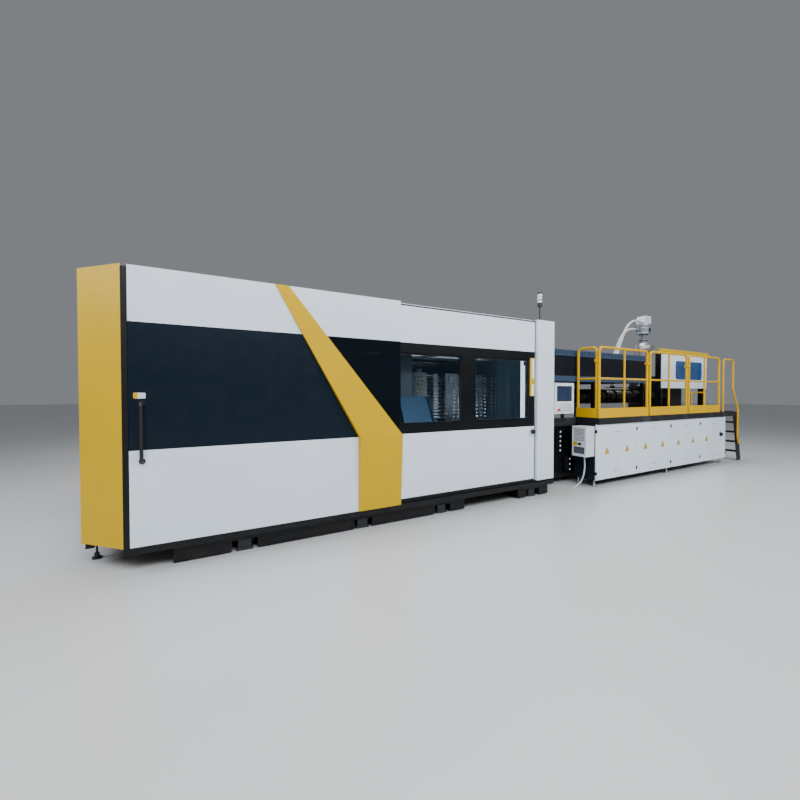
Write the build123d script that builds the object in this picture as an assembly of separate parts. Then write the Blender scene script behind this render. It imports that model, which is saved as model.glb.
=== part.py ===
from build123d import *
import math
import os

# Preform injection moulding machine, millimetres.
# +X runs from the clamp end to the injection end, +Y away from the operator, +Z up.
# The origin is on the floor at the middle of the machine's length and depth.

# Stations along the machine
CORNER_RUN = 335.0
CORNER_POST = 45.0
CLAMP_DOOR_W = 2540.0
MOULD_DOOR_SHOWN = 2215.0
COLUMN_GAP = 20.0
COLUMN_W = 345.0
SERVICE_BAY = 890.0
CABINET_DOOR_W = 556.0
CABINET_DOORS = 8
LANDING_L = 390.0
LADDER_RUN = 412.0

# Depths, measured from the closed clamp door's face
ENCLOSURE_D = 2600.0
AXIS_D = 1100.0
CABINET_PROUD = 80.0
SWITCH_OUT = 42.0
REAR_GRIP_OUT = 60.0
COLUMN_D = 170.0
COLUMN_SEAM = 2070.0
SEAM_W = 5.0
WORK_LIGHT_IN = 135.0
WORK_LIGHT_W = 100.0
WORK_LIGHT_LOW = 1080.0
WORK_LIGHT_TOP = 2020.0
WORK_LIGHT_ARM = 120.0
HATCHES = (500.0, 2000.0, 3500.0)
HATCH_L = 900.0
HATCH_HALF = 450.0
HATCH_T = 12.0
ROOF_TIE_AT = 1400.0
END_TIE_IN = 500.0
DOOR_TRACK_START = 200.0
COVER_D = 330.0
COVER_DEPTH = 1540.0

# Heights
PANEL_LOW = 223.0
PANEL_TOP = 2544.0
MOULD_DOOR_LOW = 270.0
MOULD_DOOR_TOP = 2510.0
BAND_LOW = 1025.0
BAND_TOP = 2085.0
AXIS_Z = 1430.0
BED_TOP = 620.0
BED_LOW = 15.0
INJECTION_BED_TOP = 950.0
INJECTION_BED_LOW = 100.0
DECK_LOW = 1000.0
DECK_T = 104.0
RAIL_TOP = 2225.0
RAIL_MID = 1730.0
TOE_H = 152.0
STEP_RAIL_TOP = 1511.0
COVER_LOW = 1690.0
COVER_TOP = 2212.0
GUARD_LOW = 1600.0
GUARD_TOP = 2320.0

# Beds and feet
SILL_H = 60.0
LIP_IN = 70.0
GIRDER_IN = 180.0
GIRDER_W = 320.0
GIRDER_START = 300.0
GIRDER_END_IN = 40.0
BED_RAIL_IN = 430.0
BED_RAIL_W = 110.0
FOOT_IN = 150.0
POCKET_H = 110.0
DOOR_POCKETS = ((770.0, 230.0), (2000.0, 210.0))
COLUMN_POCKETS = ((-1715.0, 230.0), (-135.0, 260.0))
ARCH_BEFORE_COLUMN = 1255.0
ARCH_L = 960.0
ARCH_TOP = 140.0
CROSS_L = 200.0
INJECTION_BED_HALF = 680.0
INJECTION_FOOT_IN = 230.0
CABINET_FOOT_IN = 60.0
CABINET_TIE_W = 60.0
TIE_START_IN = 300.0
TIE_END_IN = 398.0
REAR_FEET = 4
REAR_FOOT_START = 60.0
REAR_FOOT_END = 120.0
REAR_FOOT_IN = 45.0
END_FOOT_SPREAD = 550.0
WEDGE_L = 150.0
WEDGE_W = 130.0
BED_WEDGE_L = 180.0
BED_WEDGE_W = 140.0
BED_WEDGE_IN = 100.0
FOOT_PAD_R = 38.0
FOOT_PAD_T = 14.0
FOOT_HUB_R = 20.0
FOOT_HUB_TOP = 52.0
FOOT_STEM_R = 9.0
CARRIAGE_RAIL_Y = 330.0
CARRIAGE_RAIL_W = 100.0
BED_PANELS = 6
BED_PANEL_GAP = 120.0
BED_PANEL_EDGE = 90.0

# Sheet metal and sections
PANEL_T = 25.0
DOOR_T = 35.0
DOOR_GAP = 5.0
GLASS_T = 8.0
REBATE = 20.0
BEAM = 60.0
SEAT = 0.3
FIT = 0.08

# Doors
MOULD_DOOR_W = 2405.0
REAR_DOOR_W = 2460.0
REAR_DOOR_AT = 2000.0
REAR_OPENING_W = 2300.0
REAR_LAP = 290.0
REAR_GRIP_LOW = 700.0
REAR_GRIP_H = 260.0
REAR_DOOR_LAP = 370.0
REAR_DOOR_TOP = 2400.0
FASCIA_TOP_LEFT = 1160.0
FASCIA_TOP_RIGHT = 1290.0
FASCIA_FOOT_LEFT = 2020.0
FASCIA_FOOT_RIGHT = 2535.0
FASCIA_TOP_OUT = 6.0
FASCIA_CREASE_OUT = 60.0
FASCIA_FOOT_OUT = 14.0
WINDOW_GAP = 240.0
WINDOW_LOW = 1150.0
WINDOW_TOP = 1950.0
WINDOW_R = 40.0
WINDOW_EDGE = 125.0
WINDOW_FAR_EDGE = 120.0
HANDLE_AT = 90.0
HANDLE_R = 14.0
HANDLE_OUT = 62.0
HANDLE_LOW = 935.0
HANDLE_TOP = 1415.0
LATCH_IN = 55.0
LATCH_Z = 950.0
LATCH_R = 32.0

# Clamping unit
TIE_SPREAD_Y = 560.0
TIE_SPREAD_Z = 580.0
TIE_R = 60.0
TIE_START = 150.0
TIE_NUT_R = 110.0
TIE_NUT_L = 100.0
PLATEN_HALF = 740.0
PLATEN_CUT = 120.0
PLATEN_POCKET_H = 660.0
PLATEN_POCKET_D = 110.0
PLATEN_POCKET_EDGE = 80.0
RIB_POCKET_Y = 470.0
RIB_POCKET_Z = 235.0
RIB_POCKET_HALF_Y = 150.0
RIB_POCKET_HALF_Z = 170.0
RIB_POCKET_D = 200.0
REAR_PLATEN_AT = 350.0
REAR_PLATEN_T = 400.0
DAYLIGHT = 1620.0
MOVING_PLATEN_T = 350.0
FIXED_PLATEN_IN = 255.0
FIXED_PLATEN_T = 350.0
RAM_ENTRY = 160.0
RAM_R = 210.0
CYLINDER_R = 330.0
CYLINDER_L = 600.0
PLATEN_OPEN = 780.0
SLIDE_RAIL_T = 20.0
NOZZLE_BORE_R = 130.0

# Mould
MOULD_HALF_Y = 300.0
MOULD_HALF_Z = 360.0
MOULD_GAP = 130.0
SPACER_L = 300.0
CORE_PLATE_T = 210.0
TEETH_GAP = 120.0
STRIPPER_T = 80.0
CORE_R = 14.0
CORE_REACH = 118.0
CORE_ROWS = 12
CORE_COLUMNS = 4
CORE_PITCH_Z = 55.0
CORE_PITCH_Y = 140.0
CAVITY_R = 16.0
CAVITY_DEPTH = 150.0
CAVITY_PLATE_T = 210.0
HOT_IN = 12.0
CLAMP_PLATE_T = 120.0
CLAMP_PLATE_OUT_Y = 60.0
CLAMP_PLATE_OUT_Z = 40.0
SPACER_W = 90.0
STRIPPER_IN = 10.0
GUIDE_R = 18.0

# Preform chute
CHUTE_AT = 130.0
CHUTE_W = 440.0
CHUTE_TOP_IN = 345.0
CHUTE_FOOT_IN = 165.0
CHUTE_TOP = 1460.0
CHUTE_FOOT = 1080.0

# Take-out arm
TAKEOUT_HALF_Y = 280.0
TAKEOUT_PARK = 820.0
TUBE_L = 90.0
TUBE_R = 17.0
TAKEOUT_PLATE_T = 40.0
TAKEOUT_BOX_T = 50.0
TAKEOUT_CLEAR = 20.0
ARM_RAIL_W = 40.0
ARM_RAIL_H = 60.0
ARM_RAIL_LOW = 1830.0
ARM_RAIL_START = 1460.0
ARM_RAIL_L = 940.0
ARM_BEAM_START = 1480.0
ARM_BEAM_L = 900.0
CARRIER_L = 120.0

# Injection unit
BARREL_R = 120.0
BARREL_AFTER_WALL = 780.0
FEED_BEFORE_END = 968.0
FEED_HALF = 200.0
FEED_HALF_Y = 210.0
FEED_TOP = 230.0
CYLINDER_REACH = 280.0
SIDE_CYLINDER_R = 75.0
SADDLE_HALF = 190.0
ADAPTER_R = 80.0
ADAPTER_AFTER_WALL = 30.0
NOZZLE_R = 45.0
NOZZLE_GAP = 1.0
SCREW_R = 55.0
SCREW_AFTER_WALL = 200.0
BAND_R = 150.0
BAND_GAP = 100.0
BAND_COUNT = 10
BARREL_FLANGE = 90.0
HOUSING_L = 600.0
HOUSING_HALF_Y = 420.0
HOUSING_TOP = 1880.0
MOTOR_R = 190.0
MOTOR_L = 100.0
CARRIAGE_BASE_T = 60.0
BED_RAIL_H = 50.0
CARRIAGE_RAIL_START = 640.0
HOPPER_R = 200.0
HOPPER_RIM_Z = 2500.0
HOPPER_RIM_H = 60.0
HOPPER_DOME_H = 140.0
HOPPER_SHOULDER = 40.0
HOPPER_DOME_R = 75.0
HOPPER_NECK_R = 75.0
HOPPER_NECK_Z = 1720.0
LOADER_STAND_H = 140.0
LOADER_LEG_R = 13.0
LOADER_DRUM_R = 135.0
LOADER_DRUM_H = 230.0
LOADER_HEAD_L = 260.0
LOADER_HEAD_D = 180.0
LOADER_HEAD_H = 170.0
LOADER_HEAD_CUT = 60.0
SPIGOT_L = 120.0
HOSE_R = 25.0
HOSE_STEP = 110.0
HOSE_FOOT_OUT = 1200.0
HOSE_FOOT_H = 24.0
SHELF_T = 16.0

# Injection covers
COVER_BEFORE_END = 2258.0
COVER_STAND_AT = 1500.0
SLOT_W = 22.0
SLOT_H = 62.0
SLOT_PITCH = 66.0
VENT_BAND_H = 99.0
LOW_BAND_H = 92.0
BAND_PROUD = 6.0
COVER_WALL = 20.0
GUARD_BEFORE_END = 1708.0
GUARD_AFTER_END = 142.0
GUARD_WINDOW_BEFORE_END = 1178.0
GUARD_WINDOW_RIGHT = 98.0
GUARD_WINDOW_LOW = 1800.0
GUARD_WINDOW_TOP = 2150.0
TOP_BAR_H = 75.0
MANIFOLDS = ((560.0, 540.0, 900.0, 5), (800.0, 210.0, 440.0, 3))

# Electrical cabinet and its air conditioner
CABINET_LOW = 115.0
CABINET_DOOR_T = 18.0
CABINET_BACK_GAP = 4.0
CABINET_D = 380.0
DOOR_SPLIT = 6.0
HINGE_OFFSET = 9.0
HINGE_STAND = 6.0
HINGE_R = 5.7
HINGE_H = 52.0
HINGE_INSET = 110.0
LATCH_DOT_R = 9.0
SWITCH_INSET = 230.0
SWITCH_Z = 630.0
SWITCH_R = 34.0
AC_W = 215.0
AC_D = 240.0
AC_BACK = 30.0
AC_LOW = 500.0
AC_TOP = 974.0
HOSE_DRAIN_R = 11.0

# Platform, rail, ladder
RAIL_R = 20.0
RAIL_BEND = 70.0
RAIL_LINE = 80.0
DECK_FRONT = 100.0
DECK_BACK = 315.0
RAIL_BACK = 290.0
RAIL_START = 60.0
RAIL_END_IN = 338.0
RAIL_JOINTS = (0.3271, 0.6329)
SECTION_GAP = 90.0
RAIL_CLAMP_Z = 1990.0
RAIL_CLAMP_H = 50.0
STEP_RAIL_IN = 608.0
STEP_RAIL_W = 600.0
HANDRAIL_R = 18.0
HANDRAIL_START_IN = 160.0
HANDRAIL_TURN_IN = 90.0
HANDRAIL_DROP_RUN = 260.0
HANDRAIL_HIGH = 1600.0
HANDRAIL_MID = 1140.0
HANDRAIL_LOW = 520.0
HANDRAIL_END = 380.0
STRINGER_W = 180.0
STRINGER_T = 12.0
TREADS = 4
TREAD_T = 30.0
TREAD_SHEET_T = 4.0
TREAD_SHEET_EDGE = 50.0

# Operator panel
HMI_START = 20.0
HMI_W = 430.0
HMI_LOW = 1190.0
HMI_TOP = 1650.0
HMI_T = 70.0
HMI_ARM_DROP = 100.0
KEYS_AT = 120.0
KEY_COLUMNS = 6
KEY_ROWS = 3
KEY_PITCH_X = 46.0
KEY_PITCH_Z = 42.0
KEY_W = 34.0
KEY_H = 26.0
SCREEN_W = 340.0
SCREEN_H = 230.0
STOP_R = 19.0
STOP_TRAVEL = 6.0

# Signal tower
POLE_R = 9.0
LAMP_R = 32.0
LAMP_LOW = 2760.0
LAMP_TOP = 2960.0
TOWER_INSET = 130.0

# Derived stations
CABINET_L = CABINET_DOORS * CABINET_DOOR_W
LENGTH = (
    CORNER_RUN + CORNER_POST + CLAMP_DOOR_W + MOULD_DOOR_SHOWN + COLUMN_GAP + COLUMN_W
    + SERVICE_BAY + CABINET_L + LANDING_L + LADDER_RUN
)
DEPTH = CABINET_PROUD + SWITCH_OUT + ENCLOSURE_D + DOOR_GAP + DOOR_T + REAR_GRIP_OUT
X_END = -LENGTH / 2
X_DOOR = X_END + CORNER_RUN + CORNER_POST
X_SEAM = X_DOOR + CLAMP_DOOR_W
X_MOULD_DOOR = X_SEAM + MOULD_DOOR_SHOWN - MOULD_DOOR_W
X_COLUMN = X_SEAM + MOULD_DOOR_SHOWN + COLUMN_GAP
X_WALL = X_COLUMN + COLUMN_W
X_CABINET = X_WALL + SERVICE_BAY
X_CABINET_END = X_CABINET + CABINET_L
X_LANDING_END = X_CABINET_END + LANDING_L
Y_FACE = -DEPTH / 2 + CABINET_PROUD + SWITCH_OUT
Y_AXIS = Y_FACE + AXIS_D
Y_REAR = Y_FACE + ENCLOSURE_D
Y_COVER = Y_FACE + COVER_D
Y_CABINET = Y_FACE - CABINET_PROUD
DECK_TOP = DECK_LOW + DECK_T
SILL_TOP = PANEL_LOW - SEAT
ROOF_LOW = PANEL_TOP - 19.0
ROOF_BEAM_TOP = ROOF_LOW - 10
BEAM_LOW = ROOF_BEAM_TOP - BEAM
BARREL_OPENING = (COVER_D, COVER_D + COVER_DEPTH)
X_REAR_PLATEN = X_DOOR + REAR_PLATEN_AT
X_FIXED_PLATEN = X_COLUMN - FIXED_PLATEN_IN
X_MOVING_PLATEN = X_FIXED_PLATEN - DAYLIGHT - MOVING_PLATEN_T
X_GIRDER = X_DOOR + GIRDER_START
X_GIRDER_END = X_WALL - GIRDER_END_IN
POCKETS = [(X_DOOR + at, X_DOOR + at + width) for at, width in DOOR_POCKETS]
POCKETS += [(X_COLUMN + at, X_COLUMN + at + width) for at, width in COLUMN_POCKETS]
ARCH = (X_COLUMN - ARCH_BEFORE_COLUMN, X_COLUMN - ARCH_BEFORE_COLUMN + ARCH_L)
X_REAR_OPENING = X_DOOR + REAR_DOOR_AT - REAR_LAP
X_CORE_FACE = X_MOVING_PLATEN + MOVING_PLATEN_T + SPACER_L + CORE_PLATE_T
X_STRIPPER = X_CORE_FACE + TEETH_GAP
X_CAVITY = X_STRIPPER + STRIPPER_T + MOULD_GAP
HOT_PLATE_T = X_FIXED_PLATEN - X_CAVITY - CAVITY_PLATE_T
X_BARREL = X_WALL + BARREL_AFTER_WALL
X_SCREW = X_WALL + SCREW_AFTER_WALL
X_FEED = X_CABINET_END - FEED_BEFORE_END
X_COVER_END = X_CABINET_END - COVER_BEFORE_END
X_GUARD = X_CABINET_END - GUARD_BEFORE_END
X_GUARD_END = X_CABINET_END + GUARD_AFTER_END
X_GUARD_WINDOW = X_CABINET_END - GUARD_WINDOW_BEFORE_END
X_GUARD_WINDOW_END = X_CABINET_END - GUARD_WINDOW_RIGHT
BAND_PITCH = (X_FEED - FEED_HALF - X_BARREL - BAND_GAP - BARREL_FLANGE) / BAND_COUNT
BAND_L = BAND_PITCH - BAND_GAP
X_HOSE_FOOT = X_FEED - HOSE_FOOT_OUT
SHELF_TOP = AXIS_Z + BAND_R + 40
HOPPER_LID = HOPPER_RIM_Z + HOPPER_RIM_H + HOPPER_DOME_H
LOADER_DRUM_LOW = HOPPER_LID + LOADER_STAND_H
LOADER_DRUM_TOP = LOADER_DRUM_LOW + LOADER_DRUM_H
LOADER_TOP = LOADER_DRUM_TOP + LOADER_HEAD_H
WINDOW_W = (MOULD_DOOR_W - WINDOW_EDGE - WINDOW_FAR_EDGE - WINDOW_GAP) / 2
RAIL_CUTS = [share * CABINET_L for share in RAIL_JOINTS]
SECTION_1 = (RAIL_START, RAIL_CUTS[0] - SECTION_GAP / 2)
SECTION_2 = (RAIL_CUTS[0] + SECTION_GAP / 2, RAIL_CUTS[1] - SECTION_GAP / 2)
SECTION_3 = (RAIL_CUTS[1] + SECTION_GAP / 2, CABINET_L - RAIL_END_IN)
INJECTION_FEET = (
    X_WALL + INJECTION_FOOT_IN,
    (X_WALL + X_CABINET_END) / 2,
    X_CABINET_END - INJECTION_FOOT_IN + 22,
)
CABINET_FEET = (CABINET_FOOT_IN, CABINET_L / 2, CABINET_L - CABINET_FOOT_IN)
CABINET_TIES = (TIE_START_IN, (CABINET_L - CABINET_TIE_W) / 2, CABINET_L - TIE_END_IN)
BEVEL_IN = PANEL_T * math.sqrt(2)


def block(x0, x1, y0, y1, z0, z1):
    """Box between two opposite corners."""
    return Pos((x0 + x1) / 2, (y0 + y1) / 2, (z0 + z1) / 2) * Box(x1 - x0, y1 - y0, z1 - z0)


def rod_x(x0, x1, y, z, radius):
    """Round bar along X."""
    return Pos((x0 + x1) / 2, y, z) * Rot(0, 90, 0) * Cylinder(radius, x1 - x0)


def rod_y(x, y0, y1, z, radius):
    """Round bar along Y."""
    return Pos(x, (y0 + y1) / 2, z) * Rot(90, 0, 0) * Cylinder(radius, y1 - y0)


def rod_z(x, y, z0, z1, radius):
    """Round bar along Z."""
    return Pos(x, y, (z0 + z1) / 2) * Cylinder(radius, z1 - z0)


def plate_xz(points, y0, y1):
    """Outline in X and Z, extruded from y0 to y1."""
    face = Plane.XZ.offset(-y0) * Polygon(*points, align=None)
    return extrude(face, amount=y1 - y0, dir=(0, 1, 0))


def plate_xy(points, z0, z1):
    """Outline in X and Y, extruded from z0 to z1."""
    face = Pos(0, 0, z0) * Polygon(*points, align=None)
    return extrude(face, amount=z1 - z0, dir=(0, 0, 1))


def plate_yz(points, x0, x1):
    """Outline in Y and Z, extruded from x0 to x1."""
    face = Plane.YZ.offset(x0) * Polygon(*points, align=None)
    return extrude(face, amount=x1 - x0, dir=(1, 0, 0))


def window_xz(x0, x1, z0, z1, y0, y1, radius):
    """Rounded rectangular block used for window openings and panes."""
    face = Plane.XZ.offset(-y0) * Pos((x0 + x1) / 2, (z0 + z1) / 2) * RectangleRounded(
        x1 - x0, z1 - z0, radius
    )
    return extrude(face, amount=y1 - y0, dir=(0, 1, 0))


def tube(points, radius, bends):
    """Round tube along straight runs joined by arcs of the given radii."""
    path = FilletPolyline(*points, radius=bends)
    section = Plane(origin=path @ 0, z_dir=path % 0) * Circle(radius)
    return sweep(section, path=path)


def cord_bends(points):
    """Arc radii of a hose's route: 0.45 of the shorter run over the tangent of half the turn."""
    bends = []
    for before, at, after in zip(points, points[1:], points[2:]):
        first = Vector(*at) - Vector(*before)
        second = Vector(*after) - Vector(*at)
        turn = math.radians(first.get_angle(second))
        shorter = min(first.length, second.length)
        bends.append(0.45 * shorter / math.tan(turn / 2))
    return bends


def hose(name, points, radius):
    """Hose tube along a hand-set route; prints its bend radii and length."""
    bends = cord_bends(points)
    path = FilletPolyline(*points, radius=bends)
    solid = sweep(Plane(origin=path @ 0, z_dir=path % 0) * Circle(radius), path=path)
    print(name, "length", round(path.length, 1), "radii", [round(bend) for bend in bends],
          "volume ratio", round(solid.volume / (math.pi * radius**2 * path.length), 4))
    return solid


def group(*pieces):
    """Separate solids of one sub-part."""
    solids = []
    for piece in pieces:
        solids.extend(piece.solids())
    return Compound(children=solids)


def grid_points():
    """Y and Z of each core, cavity and cooling tube."""
    for column in range(CORE_COLUMNS):
        for row in range(CORE_ROWS):
            y = Y_AXIS + (column - (CORE_COLUMNS - 1) / 2) * CORE_PITCH_Y
            z = AXIS_Z + (row - (CORE_ROWS - 1) / 2) * CORE_PITCH_Z
            yield y, z


def tie_points():
    """Y and Z of the four tie bars."""
    for side in (-1, 1):
        for level in (-1, 1):
            yield Y_AXIS + side * TIE_SPREAD_Y, AXIS_Z + level * TIE_SPREAD_Z


# Beds and feet

def girder_outline(top):
    """Side view of the clamp bed up to a height, with its foot pockets and the open arch."""
    points = [(X_GIRDER, BED_LOW)]
    gaps = [(start, end, POCKET_H) for start, end in POCKETS[:3]]
    gaps.append((ARCH[0], ARCH[1], ARCH_TOP))
    gaps.append((POCKETS[3][0], POCKETS[3][1], POCKET_H))
    for start, end, height in gaps:
        points.append((start, BED_LOW))
        points.append((start, height))
        points.append((end, height))
        points.append((end, BED_LOW))
    points.append((X_GIRDER_END, BED_LOW))
    points.append((X_GIRDER_END, top))
    points.append((X_GIRDER, top))
    return points


def girder_lines():
    """Front and rear edge of each clamp bed girder."""
    front = Y_FACE + GIRDER_IN
    rear = 2 * Y_AXIS - front
    return (front, front + GIRDER_W), (rear - GIRDER_W, rear)


def bed_rail_lines():
    """Y of the two slide rails that carry the platens."""
    return Y_FACE + BED_RAIL_IN, 2 * Y_AXIS - Y_FACE - BED_RAIL_IN


def foot_lines():
    """Y of the front and rear row of wedge feet."""
    return Y_FACE + FOOT_IN, 2 * Y_AXIS - Y_FACE - FOOT_IN


def clamp_bed():
    """Welded bed of two girders with low front lips, cross members and slide rails."""
    (front0, front1), (rear0, rear1) = girder_lines()
    girder = girder_outline(BED_TOP)
    lip = girder_outline(SILL_TOP - SILL_H)
    lip_front = Y_FACE + LIP_IN
    bed = plate_xz(girder, front0, front1) + plate_xz(girder, rear0, rear1)
    bed += plate_xz(lip, lip_front, front0)
    bed += plate_xz(lip, rear1, 2 * Y_AXIS - lip_front)
    for left in (X_GIRDER, X_MOVING_PLATEN - 150, X_GIRDER_END - CROSS_L):
        bed += block(left, left + CROSS_L, front1, rear0, ARCH_TOP, BED_TOP)
    for middle in bed_rail_lines():
        bed += block(
            X_REAR_PLATEN + REAR_PLATEN_T + 40,
            X_FIXED_PLATEN - 40,
            middle - BED_RAIL_W / 2,
            middle + BED_RAIL_W / 2,
            BED_TOP,
            BED_TOP + SLIDE_RAIL_T,
        )
    return bed


def wedge_foot(x, y, top, length, width):
    """Machine wedge mount: pad, wedge block and its adjusting screw."""
    pad = block(x - length / 2, x + length / 2, y - width / 2, y + width / 2, 0, 0.25 * top)
    body = block(x - 0.4 * length, x + 0.4 * length, y - 0.4 * width, y + 0.4 * width, 0.25 * top, top)
    screw = rod_x(x + 0.4 * length, x + 0.62 * length, y, 0.6 * top, 0.1 * top)
    return pad + body + screw


def round_foot(x, y, top):
    """Levelling foot of the cabinet: round pad, hub and threaded stem."""
    foot = rod_z(x, y, 0, FOOT_PAD_T, FOOT_PAD_R)
    foot += rod_z(x, y, FOOT_PAD_T, FOOT_HUB_TOP, FOOT_HUB_R)
    return foot + rod_z(x, y, FOOT_HUB_TOP, top, FOOT_STEM_R)


def levelling_feet():
    """All feet that carry the two beds and the cabinet."""
    feet = []
    for y in foot_lines():
        for start, end in POCKETS:
            feet.append(wedge_foot((start + end) / 2, y, POCKET_H, WEDGE_L, WEDGE_W))
    for side in (-1, 1):
        for x in INJECTION_FEET:
            y = Y_AXIS + side * (INJECTION_BED_HALF - BED_WEDGE_IN)
            feet.append(wedge_foot(x, y, INJECTION_BED_LOW, BED_WEDGE_L, BED_WEDGE_W))
    for station in CABINET_FEET:
        for y in (Y_CABINET + 70, Y_CABINET + CABINET_D - 30):
            feet.append(round_foot(X_CABINET + station, y, CABINET_LOW))
    sill_low = SILL_TOP - SILL_H
    first = X_DOOR + REAR_FOOT_START
    pitch = (X_WALL - REAR_FOOT_END - first) / (REAR_FEET - 1)
    for index in range(REAR_FEET):
        feet.append(round_foot(first + index * pitch, Y_REAR - REAR_FOOT_IN, sill_low))
    for y in (Y_AXIS - END_FOOT_SPREAD, Y_AXIS + END_FOOT_SPREAD):
        feet.append(round_foot(X_END + PANEL_T + BEAM / 2 + 12, y, sill_low))
    return group(*feet)


def injection_bed():
    """Closed box bed of the injection unit with its two carriage rails."""
    left = X_WALL + 10
    right = X_CABINET_END + 20
    front = Y_AXIS - INJECTION_BED_HALF
    back = Y_AXIS + INJECTION_BED_HALF
    bed = block(left, right, front, back, INJECTION_BED_LOW, INJECTION_BED_TOP)
    pitch = (right - left) / BED_PANELS
    low = INJECTION_BED_LOW + BED_PANEL_EDGE
    high = INJECTION_BED_TOP - BED_PANEL_EDGE
    for index in range(BED_PANELS):
        x0 = left + pitch * index + BED_PANEL_GAP / 2
        x1 = left + pitch * (index + 1) - BED_PANEL_GAP / 2
        for y0, y1 in ((front, front + 12), (back - 12, back)):
            bed -= block(x0, x1, y0, y1, low, high)
    half = CARRIAGE_RAIL_W / 2
    for side in (-1, 1):
        y = Y_AXIS + side * CARRIAGE_RAIL_Y
        bed += block(
            X_FEED - CARRIAGE_RAIL_START, right, y - half, y + half, INJECTION_BED_TOP,
            INJECTION_BED_TOP + BED_RAIL_H,
        )
    return bed


# Enclosure

def enclosure_frame():
    """Posts, headers, sills and door tracks, as separate welded bars."""
    y_front = Y_FACE + DOOR_T + DOOR_GAP + DOOR_T + SEAT
    y_back = Y_REAR - PANEL_T
    low = SILL_TOP - SILL_H
    x_in = X_END + PANEL_T
    x_right = X_WALL - PANEL_T
    bars = [
        block(X_DOOR - CORNER_POST, X_DOOR - 3, Y_FACE, Y_FACE + BEAM, SILL_TOP, ROOF_BEAM_TOP),
        block(X_COLUMN + 40, X_COLUMN + 40 + BEAM, y_front, y_front + BEAM, SILL_TOP, BEAM_LOW),
        block(X_DOOR - CORNER_POST, x_right, y_front, y_front + BEAM, BEAM_LOW, ROOF_BEAM_TOP),
        block(X_DOOR - CORNER_POST, X_COLUMN, Y_FACE + DOOR_T + SEAT, y_front + BEAM,
              ROOF_BEAM_TOP, ROOF_LOW),
        block(X_DOOR - CORNER_POST, x_right, y_back - BEAM, y_back, BEAM_LOW, ROOF_LOW),
        block(X_DOOR - CORNER_POST, X_WALL, Y_FACE, Y_FACE + GIRDER_IN, low, SILL_TOP),
        block(X_DOOR - CORNER_POST, X_WALL, y_back - BEAM, Y_REAR, low, SILL_TOP),
        block(X_DOOR + DOOR_TRACK_START, X_COLUMN - COLUMN_GAP, Y_FACE + DOOR_T + DOOR_GAP + 3,
              Y_FACE + 2 * DOOR_T + DOOR_GAP - 3, SILL_TOP, MOULD_DOOR_LOW - SEAT),
        block(X_DOOR, X_COLUMN, Y_REAR, Y_REAR + DOOR_GAP + DOOR_T, low, MOULD_DOOR_LOW - SEAT),
        block(X_DOOR, X_COLUMN, Y_REAR, Y_REAR + DOOR_GAP + DOOR_T, REAR_DOOR_TOP + SEAT,
              REAR_DOOR_TOP + SEAT + 40),
    ]
    corners = corner_line()
    for y in (corners[0], corners[1] - BEAM):
        bars.append(block(x_in, x_in + BEAM, y, y + BEAM, SILL_TOP, ROOF_LOW))
    bars.append(block(x_in, x_in + BEAM, corners[0] + BEAM, corners[1] - BEAM, BEAM_LOW, ROOF_LOW))
    bars.append(block(x_in, x_in + BEAM, corners[0], corners[1], low, SILL_TOP))
    for x in (X_REAR_OPENING - BEAM, X_REAR_OPENING + REAR_OPENING_W):
        bars.append(block(x, x + BEAM, y_back - BEAM, y_back, SILL_TOP, BEAM_LOW))
    bars.append(block(x_right - BEAM, x_right, y_back - BEAM, y_back, SILL_TOP, BEAM_LOW))
    bars.append(block(X_DOOR - CORNER_POST, X_DOOR - CORNER_POST + BEAM, y_back - BEAM, y_back,
                      SILL_TOP, BEAM_LOW))
    for x in (X_DOOR + ROOF_TIE_AT, arm_rail_x()[0] - 10):
        bars.append(block(x, x + BEAM, y_front + BEAM, y_back - BEAM, BEAM_LOW, ROOF_LOW))
    for y in (corners[0] + END_TIE_IN, corners[1] - END_TIE_IN - BEAM):
        bars.append(block(x_in + BEAM, X_GIRDER, y, y + BEAM, low, SILL_TOP))
    return group(*bars)


def corner_line():
    """Front and rear end of the flat end wall between the two bevelled corners."""
    run = CORNER_RUN + BEVEL_IN - PANEL_T
    return Y_FACE + run, Y_REAR - run


def corner_fascias():
    """Bevelled corner panels at the clamp end, front and rear."""
    corners = corner_line()
    x_post = X_DOOR - CORNER_POST
    front = [
        (x_post, Y_FACE),
        (X_END, Y_FACE + CORNER_RUN),
        (X_END, corners[0]),
        (X_END + PANEL_T, corners[0]),
        (x_post, Y_FACE + BEVEL_IN),
    ]
    rear = [(x, Y_FACE + Y_REAR - y) for x, y in front]
    return group(plate_xy(front, PANEL_LOW, PANEL_TOP), plate_xy(rear, PANEL_LOW, PANEL_TOP))


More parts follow.
